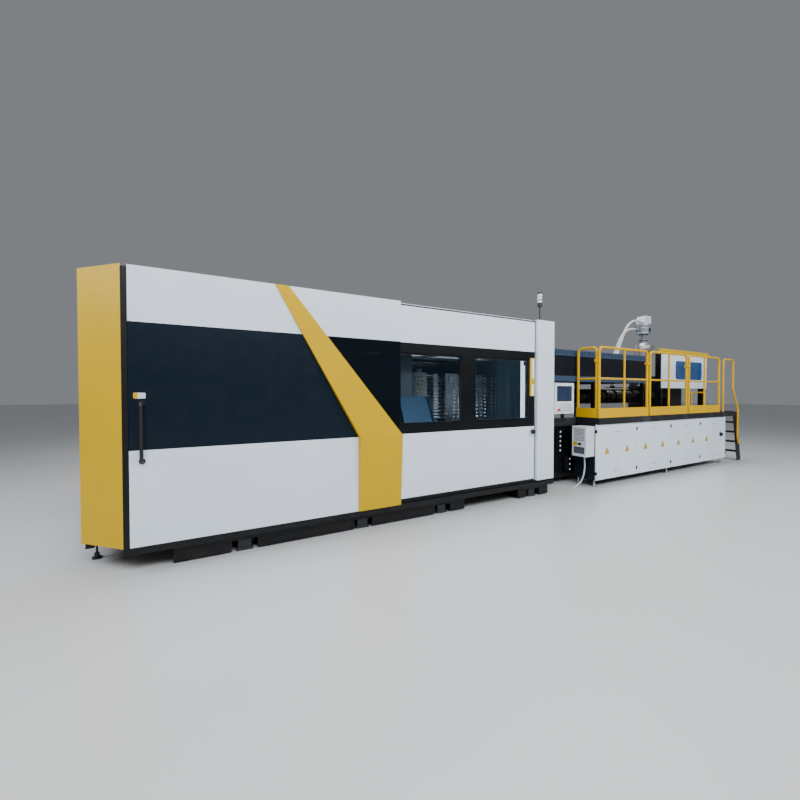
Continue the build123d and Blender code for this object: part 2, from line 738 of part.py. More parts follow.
def wall_panels():
    """Flat wall cassettes of the enclosure and the light housing inside it."""
    y_in = Y_REAR - PANEL_T
    corners = corner_line()
    x_post = X_DOOR - CORNER_POST
    x_open = X_REAR_OPENING
    x_close = x_open + REAR_OPENING_W
    x_right = X_WALL - PANEL_T
    y_low, y_high = (Y_FACE + edge for edge in BARREL_OPENING)
    panels = [
        block(X_END, X_END + PANEL_T, corners[0], corners[1], PANEL_LOW, PANEL_TOP),
        block(x_post, x_open, y_in, Y_REAR, PANEL_LOW, PANEL_TOP),
        block(x_close, X_WALL, y_in, Y_REAR, PANEL_LOW, PANEL_TOP),
        block(x_open, x_close, y_in, Y_REAR, REAR_DOOR_TOP - 40, PANEL_TOP),
        block(x_open, x_close, y_in, Y_REAR, PANEL_LOW, MOULD_DOOR_LOW + 60),
        block(x_right, X_WALL, Y_FACE + COLUMN_D, y_low, PANEL_LOW, PANEL_TOP),
        block(x_right, X_WALL, y_high, y_in, PANEL_LOW, PANEL_TOP),
        block(x_right, X_WALL, y_low, y_high, COVER_TOP, PANEL_TOP),
        block(x_right, X_WALL, y_low, y_high, PANEL_LOW, INJECTION_BED_TOP),
    ]
    light_x = X_COLUMN - WORK_LIGHT_IN
    light_y = Y_FACE + COLUMN_D + 30
    arm_low = WORK_LIGHT_TOP - WORK_LIGHT_ARM
    arm_top = arm_low + BEAM
    light = block(light_x, light_x + WORK_LIGHT_W, light_y, light_y + 40, WORK_LIGHT_LOW, WORK_LIGHT_TOP)
    light += block(light_x + 60, X_COLUMN + 30, light_y - 12, light_y, arm_low, arm_top)
    light += block(X_COLUMN + 4, X_COLUMN + 30, Y_FACE + COLUMN_D, light_y, arm_low, arm_top)
    return group(*panels, light)


def roof_panels():
    """Roof sheet, let in between the corner panels and walls, with two lifting strips."""
    y_front = Y_FACE + 2 * DOOR_T + DOOR_GAP + SEAT
    y_back = Y_REAR - PANEL_T
    x_in = X_END + PANEL_T
    corners = corner_line()
    bevel = X_DOOR - CORNER_POST + BEVEL_IN
    points = [
        (bevel - (y_front - Y_FACE), y_front),
        (X_COLUMN - COLUMN_GAP, y_front),
        (X_COLUMN - COLUMN_GAP, Y_FACE + COLUMN_D),
        (X_WALL - PANEL_T, Y_FACE + COLUMN_D),
        (X_WALL - PANEL_T, y_back),
        (bevel - (Y_REAR - y_back), y_back),
        (x_in, corners[1]),
        (x_in, corners[0]),
    ]
    roof = plate_xy(points, ROOF_LOW, PANEL_TOP)
    hatches = []
    for station in HATCHES:
        x = X_DOOR + station
        y0 = Y_AXIS - HATCH_HALF
        y1 = Y_AXIS + HATCH_HALF
        hatches.append(block(x, x + HATCH_L, y0, y1, PANEL_TOP, PANEL_TOP + HATCH_T))
    return group(roof, *hatches)


def column_cover():
    """Tall box cover right of the mould door, in two stacked parts with a joint between."""
    cover = block(X_COLUMN, X_WALL, Y_FACE, Y_FACE + COLUMN_D, PANEL_LOW + 22, PANEL_TOP)
    inner = block(
        X_COLUMN + 3, X_WALL - 3, Y_FACE + 3, Y_FACE + COLUMN_D, COLUMN_SEAM, COLUMN_SEAM + SEAM_W
    )
    groove = block(
        X_COLUMN, X_WALL, Y_FACE, Y_FACE + COLUMN_D, COLUMN_SEAM, COLUMN_SEAM + SEAM_W
    ) - inner
    post = block(
        X_COLUMN + 40 - SEAT,
        X_COLUMN + 40 + BEAM + SEAT,
        Y_FACE + 2 * DOOR_T + DOOR_GAP,
        Y_FACE + COLUMN_D,
        PANEL_LOW,
        ROOF_BEAM_TOP,
    )
    header = block(
        X_COLUMN, X_WALL, Y_FACE + 2 * DOOR_T + DOOR_GAP, Y_FACE + COLUMN_D, BEAM_LOW - SEAT, PANEL_TOP
    )
    return cover - groove - post - header


# Doors of the enclosure
def fascia_outline():
    """Front view of the folded band that crosses the clamp door."""
    return [
        (X_DOOR + FASCIA_TOP_LEFT, PANEL_TOP),
        (X_DOOR + FASCIA_TOP_RIGHT, PANEL_TOP),
        (X_DOOR + FASCIA_FOOT_RIGHT, BAND_LOW),
        (X_DOOR + FASCIA_FOOT_RIGHT, PANEL_LOW),
        (X_DOOR + FASCIA_FOOT_LEFT, PANEL_LOW),
        (X_DOOR + FASCIA_FOOT_LEFT, BAND_LOW),
    ]


def clamp_door_fascia():
    """Folded band: flush at the top, proud at its crease and drawn in again at the foot."""
    band = plate_xz(fascia_outline(), Y_FACE - FASCIA_CREASE_OUT, Y_FACE)
    profile = [
        (Y_FACE, PANEL_LOW),
        (Y_FACE - FASCIA_FOOT_OUT, PANEL_LOW),
        (Y_FACE - FASCIA_CREASE_OUT, BAND_LOW),
        (Y_FACE - FASCIA_TOP_OUT, PANEL_TOP),
        (Y_FACE, PANEL_TOP),
    ]
    return band & plate_yz(profile, X_DOOR + FASCIA_TOP_LEFT, X_SEAM)


def glass_outline(inset):
    """Front view of the tinted pane right of the folded band, drawn in by inset."""
    slope = (FASCIA_FOOT_RIGHT - FASCIA_TOP_RIGHT) / (PANEL_TOP - BAND_LOW)
    lean = math.sqrt(1 + slope**2)
    edge_top = FASCIA_TOP_RIGHT + (PANEL_TOP - BAND_TOP) * slope
    right = CLAMP_DOOR_W - 5 - inset
    top = BAND_TOP - inset
    left = edge_top - 60 + inset * lean + inset * slope
    foot = top - (right - left) / slope
    return [(X_DOOR + left, top), (X_DOOR + right, top), (X_DOOR + right, foot)]


def clamp_door():
    """Sliding door over the clamp with a rebated opening for the tinted pane."""
    door = block(X_DOOR, X_SEAM, Y_FACE, Y_FACE + DOOR_T, PANEL_LOW, PANEL_TOP)
    door -= plate_xz(glass_outline(0), Y_FACE, Y_FACE + GLASS_T)
    return door - plate_xz(glass_outline(REBATE), Y_FACE, Y_FACE + DOOR_T)


def clamp_door_glass():
    """Tinted pane of the clamp door, set flush in its rebate."""
    return plate_xz(glass_outline(SEAT), Y_FACE, Y_FACE + GLASS_T)


def clamp_door_handle():
    """Upright bow handle with round end plates."""
    x = X_DOOR + HANDLE_AT
    y = Y_FACE - HANDLE_OUT + HANDLE_R
    points = [
        (x, Y_FACE - 8, HANDLE_LOW),
        (x, y, HANDLE_LOW),
        (x, y, HANDLE_TOP),
        (x, Y_FACE - 8, HANDLE_TOP),
    ]
    bow = tube(points, HANDLE_R, 1.6 * HANDLE_R)
    for z in (HANDLE_LOW, HANDLE_TOP):
        bow += rod_y(x, Y_FACE - 8, Y_FACE, z, 1.7 * HANDLE_R)
    return bow


def mould_windows():
    """X range of each window in the mould door."""
    first = X_MOULD_DOOR + MOULD_DOOR_W - WINDOW_EDGE - 2 * WINDOW_W - WINDOW_GAP
    second = first + WINDOW_W + WINDOW_GAP
    return (first, first + WINDOW_W), (second, second + WINDOW_W)


def mould_door():
    """Sliding door over the mould with two rebated window openings."""
    face = Y_FACE + DOOR_T + DOOR_GAP
    right = X_MOULD_DOOR + MOULD_DOOR_W
    door = block(X_MOULD_DOOR, right, face, face + DOOR_T, MOULD_DOOR_LOW, MOULD_DOOR_TOP)
    for x0, x1 in mould_windows():
        door -= window_xz(x0, x1, WINDOW_LOW, WINDOW_TOP, face, face + DOOR_T, WINDOW_R)
        door -= window_xz(
            x0 - REBATE, x1 + REBATE, WINDOW_LOW - REBATE, WINDOW_TOP + REBATE,
            face, face + GLASS_T, WINDOW_R + REBATE,
        )
    return door


def mould_door_windows():
    """Clear panes of the mould door."""
    face = Y_FACE + DOOR_T + DOOR_GAP
    edge = REBATE - SEAT
    panes = []
    for x0, x1 in mould_windows():
        panes.append(
            window_xz(x0 - edge, x1 + edge, WINDOW_LOW - edge, WINDOW_TOP + edge,
                      face + 1, face + GLASS_T, WINDOW_R + edge)
        )
    return group(*panes)


def mould_door_latch():
    """Turning latch: round grip, spindle and the tongue that reaches the column."""
    face = Y_FACE + DOOR_T + DOOR_GAP
    x = X_MOULD_DOOR + MOULD_DOOR_W - LATCH_IN
    latch = rod_y(x, face - 34, face - SEAT, LATCH_Z, 0.4 * LATCH_R)
    latch += rod_y(x, face - 46, face - 18, LATCH_Z, LATCH_R)
    latch += block(x, x + LATCH_IN + 12, face - 16, face - 6, LATCH_Z - 11, LATCH_Z + 11)
    return latch


def rear_door():
    """Sliding guard over the rear opening, with its bow handle."""
    x0 = X_DOOR + REAR_DOOR_AT - REAR_DOOR_LAP
    x1 = x0 + REAR_DOOR_W
    y0 = Y_REAR + DOOR_GAP
    door = block(x0, x1, y0, y0 + DOOR_T, MOULD_DOOR_LOW, REAR_DOOR_TOP)
    door -= block(x0 + 60, x1 - 60, y0 + DOOR_T - 6, y0 + DOOR_T, BAND_LOW, BAND_TOP)
    x = x1 - 110
    grip = y0 + DOOR_T + REAR_GRIP_OUT - HANDLE_R
    base = y0 + DOOR_T
    low, top = REAR_GRIP_LOW, REAR_GRIP_LOW + REAR_GRIP_H
    points = [(x, base, low), (x, grip, low), (x, grip, top), (x, base, top)]
    return door + tube(points, HANDLE_R, 1.6 * HANDLE_R)


# Clamping unit
def platen(x0, x1, bore, tie_clearance):
    """Platen with chamfered corners, tie bar bores, a centre bore and side pockets."""
    half = PLATEN_HALF
    cut = PLATEN_CUT
    points = []
    for sy, sz in ((-1, -1), (1, -1), (1, 1), (-1, 1)):
        a = (Y_AXIS + sy * (half - cut), AXIS_Z + sz * half)
        b = (Y_AXIS + sy * half, AXIS_Z + sz * (half - cut))
        points.extend([b, a] if sy * sz > 0 else [a, b])
    plate = plate_yz(points, x0, x1)
    for y, z in tie_points():
        plate -= rod_x(x0, x1, y, z, TIE_R + tie_clearance)
    if bore:
        plate -= rod_x(x0, x1, Y_AXIS, AXIS_Z, bore)
    return plate


def side_pocket(x0, x1, y):
    """Recess in the side face of an outer platen."""
    half = PLATEN_POCKET_H / 2
    depth = PLATEN_POCKET_D
    return block(x0 + PLATEN_POCKET_EDGE, x1 - PLATEN_POCKET_EDGE, y - depth, y + depth, AXIS_Z - half,
                 AXIS_Z + half)


def platen_feet(x0, x1, low):
    """Two feet or slide shoes under a platen, over the bed girders."""
    feet = []
    for middle in bed_rail_lines():
        feet.append(
            block(x0, x1, middle - BED_RAIL_W / 2, middle + BED_RAIL_W / 2, low,
                  AXIS_Z - PLATEN_HALF + 130)
        )
    return feet


def clamp_cylinder():
    """Rear platen with the clamping cylinder and its bore in one casting."""
    x0 = X_REAR_PLATEN
    x1 = x0 + REAR_PLATEN_T
    body = platen(x0, x1, 0, FIT)
    back = x0 - CYLINDER_L
    body += rod_x(back, x0, Y_AXIS, AXIS_Z, CYLINDER_R)
    body += rod_x(back, back + 60, Y_AXIS, AXIS_Z, CYLINDER_R + 40)
    for foot in platen_feet(x0, x1, BED_TOP):
        body += foot
    bore_start = X_MOVING_PLATEN - ram_length() - PLATEN_OPEN - 30
    body -= rod_x(bore_start, x1, Y_AXIS, AXIS_Z, RAM_R + FIT)
    for side in (-1, 1):
        y = Y_AXIS + side * PLATEN_HALF
        body -= side_pocket(x0, x1, y)
    return body


def ram_length():
    """Length of the ram behind the moving platen."""
    return X_MOVING_PLATEN - X_REAR_PLATEN - REAR_PLATEN_T + RAM_ENTRY


def moving_platen():
    """Moving platen with ribbed back, slide shoes and the ram that drives it."""
    x0 = X_MOVING_PLATEN
    x1 = x0 + MOVING_PLATEN_T
    body = platen(x0, x1, 0, FIT)
    for sy in (-1, 1):
        for sz in (-1, 1):
            y = Y_AXIS + sy * RIB_POCKET_Y
            z = AXIS_Z + sz * RIB_POCKET_Z
            half_y, half_z = RIB_POCKET_HALF_Y, RIB_POCKET_HALF_Z
            body -= block(x0, x0 + RIB_POCKET_D, y - half_y, y + half_y, z - half_z, z + half_z)
    body += rod_x(x0 - ram_length(), x0, Y_AXIS, AXIS_Z, RAM_R)
    body += rod_x(x0 - 90, x0, Y_AXIS, AXIS_Z, RAM_R + 60)
    for foot in platen_feet(x0 - 120, x1 - 20, BED_TOP + SLIDE_RAIL_T + SEAT):
        body += foot
    for y, z in tie_points():
        body -= rod_x(x0 - 200, x1, y, z, TIE_R + FIT)
    return body


def stationary_platen():
    """Fixed platen with the nozzle bore and its conical lead-in."""
    x0 = X_FIXED_PLATEN
    x1 = x0 + FIXED_PLATEN_T
    body = platen(x0, x1, NOZZLE_BORE_R, FIT)
    cone = Pos(x1 - 60, Y_AXIS, AXIS_Z) * Rot(0, 90, 0) * Cone(NOZZLE_BORE_R, NOZZLE_BORE_R + 70, 120)
    body -= cone
    for foot in platen_feet(x0, x1, BED_TOP):
        body += foot
    for side in (-1, 1):
        y = Y_AXIS + side * PLATEN_HALF
        body -= side_pocket(x0, x1, y)
    return body


def tie_bars():
    """Four tie bars with the nuts that seat on the outer platens."""
    x0 = X_DOOR + TIE_START
    x1 = X_FIXED_PLATEN + FIXED_PLATEN_T
    pieces = []
    for y, z in tie_points():
        pieces.append(rod_x(x0, x1 + TIE_NUT_L + 20, y, z, TIE_R))
        for start in (X_REAR_PLATEN - TIE_NUT_L, x1):
            end = start + TIE_NUT_L
            nut = rod_x(start, end, y, z, TIE_NUT_R)
            pieces.append(nut - rod_x(start, end, y, z, TIE_R + FIT))
    return group(*pieces)


def mould_block(x0, x1, in_y=0.0, in_z=0.0):
    """Plate of the mould stack, drawn in at its sides by in_y and at its ends by in_z."""
    half_y = MOULD_HALF_Y - in_y
    half_z = MOULD_HALF_Z - in_z
    return block(x0, x1, Y_AXIS - half_y, Y_AXIS + half_y, AXIS_Z - half_z, AXIS_Z + half_z)


def guide_points():
    """Y and Z of the four guide pins of the stripper plate."""
    for sy in (-1, 1):
        for sz in (-1, 1):
            yield Y_AXIS + sy * (MOULD_HALF_Y - 40), AXIS_Z + sz * (MOULD_HALF_Z - 30)


def core_half():
    """Moving mould half: spacer rails, core plate and the rows of cores."""
    x0 = X_MOVING_PLATEN + MOVING_PLATEN_T
    x1 = x0 + SPACER_L
    plate = mould_block(x1, X_CORE_FACE)
    spacers = mould_block(x0, x1) - mould_block(x0, x1, SPACER_W, 0)
    for y, z in guide_points():
        plate -= rod_x(x1, X_CORE_FACE, y, z, GUIDE_R + FIT)
        spacers -= rod_x(x0, x1, y, z, GUIDE_R + FIT)
    tip = X_STRIPPER + STRIPPER_T + CORE_REACH
    cores = [rod_x(X_CORE_FACE, tip, y, z, CORE_R) for y, z in grid_points()]
    return group(plate, spacers, *cores)


def stripper_plate():
    """Stripper plate that rides on its guide pins and clears every core."""
    plate = mould_block(X_STRIPPER, X_STRIPPER + STRIPPER_T, STRIPPER_IN, STRIPPER_IN)
    for y, z in grid_points():
        plate -= rod_x(X_STRIPPER, X_STRIPPER + STRIPPER_T, y, z, CORE_R + FIT)
    start = X_CORE_FACE - CORE_PLATE_T
    pins = [rod_x(start, X_STRIPPER, y, z, GUIDE_R) for y, z in guide_points()]
    return group(plate, *pins)


def cavity_half():
    """Fixed mould half: cavity plate with its bores, hot half and clamp plate."""
    x1 = X_CAVITY + CAVITY_PLATE_T
    x3 = x1 + HOT_PLATE_T
    x2 = x3 - CLAMP_PLATE_T
    cavity_plate = mould_block(X_CAVITY, x1)
    for y, z in grid_points():
        cavity_plate -= rod_x(X_CAVITY, X_CAVITY + CAVITY_DEPTH, y, z, CAVITY_R)
    hot_half = mould_block(x1, x2, HOT_IN, HOT_IN)
    clamp_plate = mould_block(x2, x3, -CLAMP_PLATE_OUT_Y, -CLAMP_PLATE_OUT_Z)
    clamp_plate -= rod_x(x3 - 60, x3, Y_AXIS, AXIS_Z, NOZZLE_R + 20)
    return group(cavity_plate, hot_half, clamp_plate)


# Take-out arm
def arm_rail_x():
    """X range of the fixed rail of the take-out arm."""
    return X_CAVITY - ARM_RAIL_W, X_CAVITY


def takeout_guide():
    """Fixed rail of the take-out arm, hung from the roof frame."""
    x0, x1 = arm_rail_x()
    y0 = Y_FACE + ARM_RAIL_START
    top = ARM_RAIL_LOW + ARM_RAIL_H
    body = block(x0, x1, y0, y0 + ARM_RAIL_L, ARM_RAIL_LOW, top)
    for y in (y0 + 290, y0 + ARM_RAIL_L - 50):
        body += block(x0, x1, y, y + 50, top, BEAM_LOW)
    return body


def takeout_beam():
    """Telescopic beam between the fixed rail and the take-out plate."""
    x1 = arm_rail_x()[0] - SEAT
    y0 = Y_FACE + ARM_BEAM_START
    return block(x1 - ARM_RAIL_W, x1, y0, y0 + ARM_BEAM_L, ARM_RAIL_LOW, ARM_RAIL_LOW + ARM_RAIL_H)


def takeout_plate():
    """Take-out plate with its cooling tubes, suction box and carrier."""
    x_box = X_CAVITY - TAKEOUT_CLEAR - TAKEOUT_BOX_T
    x_plate = x_box - TAKEOUT_PLATE_T
    y_mid = Y_AXIS + TAKEOUT_PARK
    y0 = y_mid - TAKEOUT_HALF_Y
    y1 = y_mid + TAKEOUT_HALF_Y
    low = AXIS_Z - MOULD_HALF_Z
    high = AXIS_Z + MOULD_HALF_Z
    body = block(x_plate, x_box, y0, y1, low, high)
    body += block(x_box, x_box + TAKEOUT_BOX_T, y0 + 30, y1 - 30, low + 30, high - 30)
    x1 = arm_rail_x()[0] - 2 * SEAT - ARM_RAIL_W
    carrier_y = y_mid + 150
    body += block(x1 - 30, x1, carrier_y, carrier_y + CARRIER_L, low + 60, ARM_RAIL_LOW + ARM_RAIL_H)
    start = x_plate - TUBE_L
    tubes = [rod_x(start, x_plate, y + TAKEOUT_PARK, z, TUBE_R) for y, z in grid_points()]
    return group(body, *tubes)


def preform_chute():
    """Bent slide sheet behind the mould door, with side flanges and two brackets."""
    x0 = X_MOVING_PLATEN + CHUTE_AT
    x1 = x0 + CHUTE_W
    y_top = Y_FACE + CHUTE_TOP_IN
    y_foot = Y_FACE + CHUTE_FOOT_IN
    z_top = CHUTE_TOP
    z_foot = CHUTE_FOOT
    sheet = plate_yz(
        [(y_top, z_top), (y_top + 8, z_top), (y_foot + 8, z_foot), (y_foot + 8, z_foot - 60),
         (y_foot, z_foot - 60), (y_foot, z_foot)],
        x0, x1,
    )
    flange = [(y_top, z_top), (y_top + 8, z_top), (y_foot + 8, z_foot), (y_foot - 32, z_foot),
              (y_top - 40, z_top)]
    body = sheet + plate_yz(flange, x0, x0 + 5) + plate_yz(flange, x1 - 5, x1)
    foot_y = Y_FACE + GIRDER_IN
    for x in (x0 + 60, x1 - 100):
        body += block(x, x + 40, foot_y, foot_y + 12, BED_TOP, z_foot)
        body += block(x, x + 40, y_foot, foot_y + 12, z_foot - 60, z_foot - 10)
        body += block(x, x + 40, foot_y, foot_y + 70, BED_TOP, BED_TOP + 8)
    return body


# Injection unit
def barrel_profile():
    """Half section of barrel, adapter and nozzle, as X stations and radii."""
    tip = X_FIXED_PLATEN + NOZZLE_GAP
    adapter = X_WALL + ADAPTER_AFTER_WALL
    start = X_BARREL
    return [
        (tip, 8.0),
        (tip + 60, NOZZLE_R),
        (adapter, NOZZLE_R),
        (adapter, ADAPTER_R),
        (start, ADAPTER_R),
        (start, BARREL_R),
        (X_FEED - FEED_HALF, BARREL_R),
    ]


def injection_barrel():
    """Bored barrel with nozzle, end flange and heater bands."""
    outline = barrel_profile()
    points = [(x, AXIS_Z + radius) for x, radius in outline]
    points.append((outline[-1][0], AXIS_Z))
    points.append((outline[0][0], AXIS_Z))
    face = Plane.XZ.offset(-Y_AXIS) * Polygon(*points, align=None)
    axis = Axis((0, Y_AXIS, AXIS_Z), (1, 0, 0))
    barrel = revolve(face, axis, 360)
    end = outline[-1][0]
    start = X_BARREL + BARREL_FLANGE
    barrel += rod_x(X_BARREL, start, Y_AXIS, AXIS_Z, BAND_R + 20)
    barrel += rod_x(end - BARREL_FLANGE, end, Y_AXIS, AXIS_Z, BAND_R + 20)
    for index in range(BAND_COUNT):
        x = start + BAND_GAP / 2 + index * BAND_PITCH
        barrel += rod_x(x, x + BAND_L, Y_AXIS, AXIS_Z, BAND_R)
    barrel -= rod_x(X_SCREW - 40, end, Y_AXIS, AXIS_Z, SCREW_R + FIT)
    return barrel


def plasticating_screw():
    """Screw shaft with its conical tip, turning in the barrel bore."""
    x0 = X_SCREW
    x1 = X_FEED + FEED_HALF + 30
    tip = Pos(x0 + 60, Y_AXIS, AXIS_Z) * Rot(0, 90, 0) * Cone(12, SCREW_R, 120)
    return tip + rod_x(x0 + 120, x1, Y_AXIS, AXIS_Z, SCREW_R)


def injection_carriage():
    """Carriage with feed block, gear housing, motor and injection cylinders."""
    rail_top = INJECTION_BED_TOP + BED_RAIL_H
    feed0 = X_FEED - FEED_HALF
    feed1 = X_FEED + FEED_HALF
    end = feed1 + HOUSING_L
    base = rail_top + SEAT + CARRIAGE_BASE_T
    body = block(feed0 - CYLINDER_REACH - 20, end, Y_AXIS - HOUSING_HALF_Y, Y_AXIS + HOUSING_HALF_Y,
                 rail_top + SEAT, base)
    body += block(feed0, feed1, Y_AXIS - FEED_HALF_Y, Y_AXIS + FEED_HALF_Y, base, AXIS_Z + FEED_TOP)
    housing = block(feed1, end, Y_AXIS - HOUSING_HALF_Y, Y_AXIS + HOUSING_HALF_Y, base, HOUSING_TOP)
    top_edges = housing.edges().filter_by(Axis.X).group_by(Axis.Z)[-1]
    body += chamfer(top_edges, 110)
    for side in (-1, 1):
        y = Y_AXIS + side * CARRIAGE_RAIL_Y
        cap = feed0 - CYLINDER_REACH
        body += rod_x(cap, feed1, y, AXIS_Z, SIDE_CYLINDER_R)
        body += rod_x(cap - 40, cap, y, AXIS_Z, SIDE_CYLINDER_R + 20)
    body += rod_x(end, end + MOTOR_L, Y_AXIS, AXIS_Z, MOTOR_R)
    body -= rod_x(feed0, feed1 + 40, Y_AXIS, AXIS_Z, SCREW_R + FIT)
    body -= rod_z(X_FEED, Y_AXIS, AXIS_Z, AXIS_Z + FEED_TOP, HOPPER_NECK_R - 10)
    (ya, _, _), (yb, _, _) = spigots()
    body += block(X_HOSE_FOOT - 50, feed0, ya - 45, yb + 45, SHELF_TOP - SHELF_T, SHELF_TOP)
    for index, y in enumerate((ya, yb)):
        x = X_HOSE_FOOT + index * HOSE_STEP
        body += rod_z(x, y, SHELF_TOP, SHELF_TOP + HOSE_FOOT_H, HOSE_R + 6)
    return group(body, saddle(X_BARREL + 25))


def saddle(x):
    """Support that carries the barrel's front end on the bed top."""
    base = block(x, x + 40, Y_AXIS - SADDLE_HALF, Y_AXIS + SADDLE_HALF, INJECTION_BED_TOP + SEAT, AXIS_Z)
    return base - rod_x(x, x + 40, Y_AXIS, AXIS_Z, BAND_R + 20)


def material_hopper():
    """Hopper: neck block, cone, rim and domed lid, turned in one profile."""
    seat = AXIS_Z + FEED_TOP
    rim = HOPPER_RIM_Z + HOPPER_RIM_H
    outline = [
        (0.0, seat),
        (HOPPER_NECK_R + 45, seat),
        (HOPPER_NECK_R + 45, seat + 24),
        (HOPPER_NECK_R, seat + 24),
        (HOPPER_NECK_R, HOPPER_NECK_Z),
        (HOPPER_R - 8, HOPPER_RIM_Z),
        (HOPPER_R, HOPPER_RIM_Z),
        (HOPPER_R, rim),
        (HOPPER_R - HOPPER_SHOULDER, rim + 0.45 * HOPPER_DOME_H),
        (HOPPER_DOME_R, rim + HOPPER_DOME_H),
        (0.0, rim + HOPPER_DOME_H),
    ]
    face = Plane.XZ.offset(-Y_AXIS) * Pos(X_FEED, 0) * Polygon(*outline, align=None)
    return revolve(face, Axis((X_FEED, Y_AXIS, 0), (0, 0, 1)), 360)


def hopper_loader():
    """Vacuum loader over the hopper: legs, drum, chamfered head, blower elbow and hose spigots."""
    foot = 0.7 * HOPPER_DOME_R
    body = rod_z(X_FEED, Y_AXIS, HOPPER_LID, LOADER_DRUM_LOW, 0.55 * HOPPER_DOME_R)
    body += rod_z(X_FEED, Y_AXIS, HOPPER_LID, HOPPER_LID + 14, HOPPER_DOME_R + 25)
    for index in range(4):
        angle = math.radians(45 + 90 * index)
        x = X_FEED + (foot + 20) * math.cos(angle)
        y = Y_AXIS + (foot + 20) * math.sin(angle)
        body += rod_z(x, y, HOPPER_LID, LOADER_DRUM_LOW, LOADER_LEG_R)
    body += rod_z(X_FEED, Y_AXIS, LOADER_DRUM_LOW, LOADER_DRUM_TOP, LOADER_DRUM_R)
    seam = LOADER_DRUM_TOP - 0.3 * LOADER_DRUM_H
    body += rod_z(X_FEED, Y_AXIS, seam, seam + 18, LOADER_DRUM_R + 16)
    x0 = X_FEED - LOADER_HEAD_L / 2
    x1 = X_FEED + LOADER_HEAD_L / 2
    head = [
        (x0, LOADER_DRUM_TOP),
        (x1, LOADER_DRUM_TOP),
        (x1, LOADER_TOP),
        (x0 + LOADER_HEAD_CUT, LOADER_TOP),
        (x0, LOADER_TOP - LOADER_HEAD_CUT),
    ]
    body += plate_xz(head, Y_AXIS - LOADER_HEAD_D / 2, Y_AXIS + LOADER_HEAD_D / 2)
    elbow_z = LOADER_DRUM_LOW + 0.55 * LOADER_DRUM_H
    elbow_x = X_FEED + LOADER_DRUM_R + 55
    body += rod_x(X_FEED + 0.5 * LOADER_DRUM_R, elbow_x + 24, Y_AXIS, elbow_z, 24)
    body += rod_z(elbow_x, Y_AXIS, elbow_z - 90, elbow_z, 24)
    for y, z, start in spigots():
        body += rod_x(start, X_FEED - 0.5 * LOADER_DRUM_R, y, z, HOSE_R + 5)
    return body


def spigots():
    """Y, Z and outer X of the two hose spigots on the loader."""
    start = X_FEED - LOADER_HEAD_L / 2 - SPIGOT_L
    return (
        (Y_AXIS - 0.25 * LOADER_HEAD_D, LOADER_DRUM_TOP + 40, start),
        (Y_AXIS + 60, LOADER_DRUM_LOW + 100, start),
    )


def hose_routes():
    """Hand-set routes of the two loader hoses, from spigot to the sockets on the carriage shelf."""
    (ya, za, x) = spigots()[0]
    (yb, zb, _) = spigots()[1]
    foot_a = X_HOSE_FOOT
    foot_b = X_HOSE_FOOT + HOSE_STEP
    foot_z = SHELF_TOP + HOSE_FOOT_H
    first = [
        (x, ya, za),
        (x - 175, ya, za),
        (x - 390, ya - 4, za - 80),
        (x - 560, ya - 10, za - 250),
        (foot_a + 250, ya - 12, za - 480),
        (foot_a + 120, ya - 12, za - 740),
        (foot_a + 25, ya - 8, foot_z + 466),
        (foot_a, ya, foot_z + 226),
        (foot_a, ya, foot_z),
    ]
    second = [
        (x, yb, zb),
        (x - 165, yb, zb),
        (x - 360, yb + 4, zb - 75),
        (x - 520, yb + 8, zb - 230),
        (foot_b + 190, yb + 11, zb - 440),
        (foot_b + 75, yb + 11, zb - 665),
        (foot_b + 10, yb + 6, foot_z + 406),
        (foot_b, yb, foot_z + 196),
        (foot_b, yb, foot_z),
    ]
    return first, second


def loader_hoses():
    """Two suction hoses held by the loader and by the sockets on the barrel cover."""
    first, second = hose_routes()
    return group(hose("loader_hose_1", first, HOSE_R), hose("loader_hose_2", second, HOSE_R))


# Covers of the injection unit
def injection_cover():
    """Long hood over the barrel with a slotted vent band above and a proud band below."""
    x0 = X_WALL
    x1 = X_COVER_END
    y0 = Y_COVER
    y1 = Y_COVER + COVER_DEPTH
    hood = block(x0, x1, y0, y1, COVER_LOW, COVER_TOP)
    hood -= block(x0, x1 - COVER_WALL, y0 + COVER_WALL, y1 - COVER_WALL, COVER_LOW,
                  COVER_TOP - COVER_WALL)
    hood += block(x0, x1, y0 - BAND_PROUD, y0, COVER_LOW, COVER_LOW + LOW_BAND_H)
    middle = COVER_TOP - VENT_BAND_H / 2
    slots = int((x1 - x0 - 60) / SLOT_PITCH)
    first = x0 + 40
    for index in range(slots):
        x = first + index * SLOT_PITCH
        hood -= block(x, x + SLOT_W, y0, y0 + COVER_WALL, middle - SLOT_H / 2, middle + SLOT_H / 2)
    return hood


def cover_stands():
    """Brackets that carry the hood on the bed, at the back where a walkway isn't needed."""
    stands = []
    for x in (X_WALL + COVER_STAND_AT, X_COVER_END - 60):
        for y in (Y_COVER + COVER_WALL, Y_COVER + COVER_DEPTH - COVER_WALL - 60):
            y_bed = min(max(y, Y_AXIS - INJECTION_BED_HALF), Y_AXIS + INJECTION_BED_HALF - 60)
            stands.append(
                block(x - 40, x, min(y, y_bed), max(y, y_bed) + 60, INJECTION_BED_TOP,
                      INJECTION_BED_TOP + 12)
                + block(x - 40, x, y, y + 60, INJECTION_BED_TOP, COVER_TOP - COVER_WALL)
            )
    return group(*stands)


